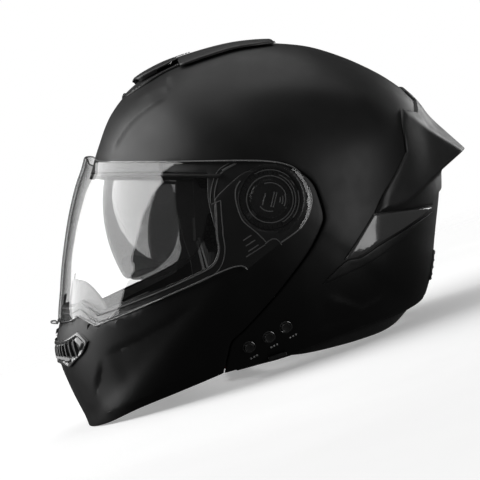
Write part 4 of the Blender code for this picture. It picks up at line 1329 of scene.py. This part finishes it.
# ---- buttons -----------------------------------------------------------------------------------
DOTS = [(-9.7, -119), (4.9, -110.7), (18.9, -103.3)]
DOT_SPACING = 2.4
DOT_ROW = (0.87, 0.5)         # the way that a row of dots runs
CAP_PROFILE = [(0, -4.2), (0, 0.9), (1.6, 1.0), (2.7, 1.35), (3.3, 1.6), (3.6, 1.2), (3.6, -4.2)]
DOT_PROFILE = [(0, -0.4), (0, 0.42), (0.55, 0.3), (0.8, 0.0), (0.8, -0.4)]
BEZEL_PROFILE = [(4.1, -2.5), (4.1, 0.25), (4.5, 0.4), (4.9, 0.1), (4.9, -2.5)]


def on_shell(profile, y, z, count):
    """A turned shape that stands on the shell's skin."""
    return lathe(profile, *skin(SHELL, y, z), count)


def make_buttons():
    for name, place in BUTTONS.items():
        cap = piece_of(f"{name}_cap", [on_shell(CAP_PROFILE, *place, 40)])
        dress(cap, BUTTON, name, name, slot="button_plastic")
    dots = [on_shell(DOT_PROFILE, y + step * DOT_ROW[0], z + step * DOT_ROW[1], 14)
            for y, z in DOTS for step in (-DOT_SPACING, 0.0, DOT_SPACING)]
    rims = [on_shell(BEZEL_PROFILE, *place, 40) for place in BUTTONS.values()]
    dress(piece_of("button_bezels", rims), SHIELD_GREY, "shell", slot="gloss_black")
    dress(piece_of("function_dots", dots), coloured("dot_paint", (0.8, 0.8, 0.8), 0.4),
          "shell", slot="button_plastic")


# ---- soft lining -------------------------------------------------------------------------------
def cushion(name, outline, outer, inner, sides=(1, -1), seams=(), pull=9.0, step=2.4):
    """A padded piece: full in the middle, pulled in to its sewn edge and along its seams."""
    sheet = Sheet(SHELL, outline, edge=1.5, grow=outer, step=step, folds=seams)
    depth = outer - inner
    fullness = 1 - np.clip(1 - sheet.edge_gap / pull, 0, 1) ** 2
    for seam in seams:
        line = SHELL.disc(smooth_line(seam, closed=False), outer)
        distance = line_distance(sheet.uv, line[:-1], line[1:])
        fullness *= 1 - 0.42 * np.exp(-(distance / 3.5) ** 2)
    piping = 0.9 * np.exp(-((sheet.edge_gap - 2.0) / 1.0) ** 2)
    level = outer - depth * (0.38 + 0.62 * fullness) - piping
    outside = sheet.surface(outer - rounded(sheet.edge_gap, 1.5))
    return plate(name, sheet, outside, sheet.surface(level), sides)


CROWN = [(-165, 26), (-66, 23.5), (-20, 26), (40, 4), (60, -40), (165, -66), *OVER_THE_TOP]
CHEEK = [(-30, -30), (-8, -42), (8, -46), (32, -34), (36, -60), (30, -98), (8, -110),
         (-20, -113), (-30, -100), (-21, -70)]
ROLL = [(8, -115.5), (18, -112.5), (69, -94.5), (112, -82), (126, -78), (124, -84), (116, -91),
        (108, -97), (96, -102.5), (81, -107), (63, -111.5), (30, -118), (5, -119.5)]
CROWN_SEAMS = ([(-60, 28), (-50, 60), (-20, 78), (30, 72), (70, 40), (90, -10), (95, -40)],
               [(-20, 32), (10, 48), (45, 40), (62, 10)])
CHEEK_SEAMS = ([(-20, -58), (0, -62), (30, -58)], [(-18, -84), (4, -86), (28, -80)])


LINING_TOP = FOAM_INSIDE - 0.5
CROWN_DEPTH, CHEEK_DEPTH = 8, 17
ROLL_LEVEL, ROLL_INSIDE = -7.4, -24
ROLL_CROWN = 1.2              # how far the neck roll bulges past the foam


def make_lining():
    crown = cushion("crown_cushion", CROWN, LINING_TOP, FOAM_INSIDE - CROWN_DEPTH,
                    seams=CROWN_SEAMS, step=3.0)
    dress(crown, LINING, "shell", "crown_liner", slot="lining_fabric")
    for word, side in (("left", 1), ("right", -1)):
        cheek = cushion(f"cheek_cushion_{word}", CHEEK, LINING_TOP, FOAM_INSIDE - CHEEK_DEPTH,
                        (side,), CHEEK_SEAMS, pull=14)
        dress(cheek, LINING, "shell", f"cheek_pad_{word}", slot="lining_fabric")
    sheet = Sheet(SHELL, ROLL, edge=3.0, grow=ROLL_LEVEL, step=1.8)
    outside = sheet.surface(ROLL_LEVEL + ROLL_CROWN - rounded(sheet.edge_gap, 3.0))
    roll = plate("neck_cushion", sheet, outside, sheet.surface(ROLL_INSIDE))
    dress(roll, VINYL, "shell", "neck_roll", slot="lining_fabric")


# ---- straps ------------------------------------------------------------------------------------
STRAP_EDGES = (-8, -32)
STRAP_THICK = 2.2
STRAP_ROWS = 12


def strap_band(line):
    """Webbing: a flat band with turned edges along a line in front view."""
    line = np.array(smooth_line(line, closed=False, pieces=10))
    forward = np.gradient(line, axis=0)
    forward /= np.hypot(*forward.T)[:, None]
    up = np.stack((-forward[:, 1], forward[:, 0]), 1)
    points, faces = [], []
    section = []
    for share in np.linspace(0, 1, STRAP_ROWS + 1):
        turned_in = 0.7 * max(abs(2 * share - 1) * 6 - 5, 0) ** 2
        section.append((share, STRAP_THICK / 2 * (1 - turned_in)))
    profile = section + [(share, -half) for share, half in reversed(section)]
    for (x, z), (ux, uz) in zip(line, up):
        for share, offset in profile:
            y = STRAP_EDGES[0] + (STRAP_EDGES[1] - STRAP_EDGES[0]) * share
            points.append((x + ux * offset, y, z + uz * offset))
    size = len(profile)
    for i in range(len(line) - 1):
        for j in range(size):
            k = (j + 1) % size
            faces.append((i * size + j, i * size + k, (i + 1) * size + k, (i + 1) * size + j))
    faces.append(tuple(reversed(range(size))))
    faces.append(tuple((len(line) - 1) * size + j for j in range(size)))
    return np.array(points), faces


STRAP_LEFT = [(57, -114.8), (50, -119.3), (38, -123.3), (33, -123.8)]
STRAP_RIGHT = [(-57, -114.8), (-50, -119.3), (-28, -124.8), (4, -126.8)]
LEVER_PLACE = (17, -20, -130.2)
LEVER_SIZE = (22, 20, 2.4)


def make_straps():
    for name, line in (("left", STRAP_LEFT), ("right", STRAP_RIGHT)):
        strap = piece_of(f"strap_{name}", [strap_band(line)])
        dress(strap, STRAP, "shell", f"chin_strap_{name}", slot="webbing")
    x, y, z = LEVER_PLACE
    grip = [block((x - 7 + d, y, z - 1.3), (0.9, 15, 0.7)) for d in (0, 2.5, 5.0)]
    lever = bevelled(piece_of("buckle_lever_grip", [block(LEVER_PLACE, LEVER_SIZE), *grip]), 0.8)
    dress(lever, RED, "buckle_lever", "buckle_lever", slot="red_plastic")


# ---- what stays as the CAD has it ----------------------------------------------------------------
# material, nodes, and the width in millimetres that their edges are rounded to
KEPT = ((EPS, ("foam_liner", "cheek_foam_left", "cheek_foam_right", "chin_foam"), 0.0),
        (INNER, ("speaker_left", "speaker_right", "intercom_module", "buckle_body"), 0.4),
        (STEEL, ("pivot_bolt_left", "pivot_bolt_right", "latch_pin_left", "latch_pin_right",
                 "latch_hook_left", "latch_hook_right"), 0.3),
        (RED, ("release_button",), 0.3))


def dress_cad():
    for material, names, width in KEPT:
        for name in names:
            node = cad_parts[name]
            node.data.materials.clear()
            node.data.materials.append(material)
            if width:
                bevelled(node, width)


# ---- camera, light and floor -----------------------------------------------------------------
VIEW_SCALE = 1.27             # of the 480-unit frame, per millimetre at the midline
VIEW_YAW = radians(7.5)
VIEW_DISTANCE = 2000.0
LOOK_AT = (0.0, -7.15, -31.5)
SENSOR = 36.0


def make_camera():
    data = bpy.data.cameras.new("camera")
    camera = bpy.data.objects.new("camera", data)
    bpy.context.scene.collection.objects.link(camera)
    back = Vector((cos(VIEW_YAW), -sin(VIEW_YAW), 0))
    right = Vector((sin(VIEW_YAW), cos(VIEW_YAW), 0))
    turn = Matrix((right, (0, 0, 1), back)).transposed()
    camera.matrix_world = ROW @ Matrix.Translation(
        (Vector(LOOK_AT) + back * VIEW_DISTANCE) * MM) @ turn.to_4x4()
    data.sensor_width = SENSOR
    data.lens = SENSOR * VIEW_DISTANCE * VIEW_SCALE / 480
    data.clip_end = 50
    bpy.context.scene.camera = camera
    bpy.context.scene.view_settings.view_transform = "Standard"


# name, place, size in metres, power in watts, and then what it faces and its roll in degrees
SOFTBOXES = (("front_softbox", (-408, -1500, 628), (2.0, 2.4), 50, (-408, 0, 628), -31),
             ("side_softbox", (1004, 1115, 150), (0.8, 1.2), 8),
             ("top_softbox", (-300, -100, 1500), (1.6, 1.6), 8),
             ("rim_softbox", (-1000, 1100, 450), (0.7, 0.7), 5, (0, 140, 60)))
ROOM = 0.035                  # how bright the room is that the helmet reflects
FLOOR_RADIUS = 3.0
FLOOR_GLOW = 0.3


def softbox(name, worn_place, size, power, target=(0, 0, 0), roll=0.0):
    """A rectangular studio light that faces a point, rolled about its own axis."""
    data = bpy.data.lights.new(name, "AREA")
    data.shape = "RECTANGLE"
    data.size, data.size_y = size
    data.energy = power
    light = bpy.data.objects.new(name, data)
    bpy.context.scene.collection.objects.link(light)
    place = ROW @ (Vector(worn_place) * MM)
    aim = place - ROW @ (Vector(target) * MM)
    light.location = place
    turn = aim.to_track_quat("Z", "Y").to_matrix() @ Matrix.Rotation(radians(roll), 3, "Z")
    light.rotation_euler = turn.to_euler()


def make_world():
    """A white backdrop to the camera; what the helmet reflects is a dim room."""
    world = bpy.data.worlds.new("studio")
    world.use_nodes = True
    tree = world.node_tree
    backdrop = tree.nodes["Background"]
    backdrop.inputs["Color"].default_value = (1, 1, 1, 1)
    room = tree.nodes.new("ShaderNodeBackground")
    room.inputs["Color"].default_value = (1, 1, 1, 1)
    room.inputs["Strength"].default_value = ROOM
    path = tree.nodes.new("ShaderNodeLightPath")
    choice = tree.nodes.new("ShaderNodeMixShader")
    tree.links.new(path.outputs["Is Camera Ray"], choice.inputs["Fac"])
    tree.links.new(room.outputs["Background"], choice.inputs[1])
    tree.links.new(backdrop.outputs["Background"], choice.inputs[2])
    tree.links.new(choice.outputs["Shader"], tree.nodes["World Output"].inputs["Surface"])
    bpy.context.scene.world = world


def make_floor():
    """A wide pale disc that thins away into the pale background."""
    form = bmesh.new()
    bmesh.ops.create_circle(form, cap_ends=True, segments=128, radius=FLOOR_RADIUS)
    mesh = bpy.data.meshes.new("floor")
    form.to_mesh(mesh)
    form.free()
    floor = bpy.data.objects.new("floor", mesh)
    bpy.context.scene.collection.objects.link(floor)
    floor.location.z = -0.0005
    finish = Finish("pale_floor", 0.9, Emission_Color=(1, 1, 1, 1), Emission_Strength=FLOOR_GLOW)
    finish.colour(finish.noise(8, 2), (0.3, (0.78, 0.78, 0.78)), (0.7, (0.82, 0.82, 0.82)))
    length = finish.node("ShaderNodeVectorMath", operation="LENGTH")
    finish.link(finish.place, length.inputs[0])
    fade = finish.mapped(length.outputs["Value"], 1.0, 0.0, 0.3, 1.2)
    finish.link(fade, finish.shader.inputs["Alpha"])
    floor.data.materials.append(finish.material)
    floor.visible_glossy = False
    floor.visible_diffuse = False


def make_studio():
    make_camera()
    make_world()
    make_floor()
    for light in SOFTBOXES:
        softbox(*light)


make_shell()
make_side_trims()
make_edge_trims()
make_chin_bar()
make_visor()
make_top_vent()
make_spoiler()
make_exhaust()
make_chin_vent()
make_pivots()
make_arm_ribs()
make_port_seals()
make_sun_visor()
make_buttons()
make_lining()
make_straps()
dress_cad()
make_studio()
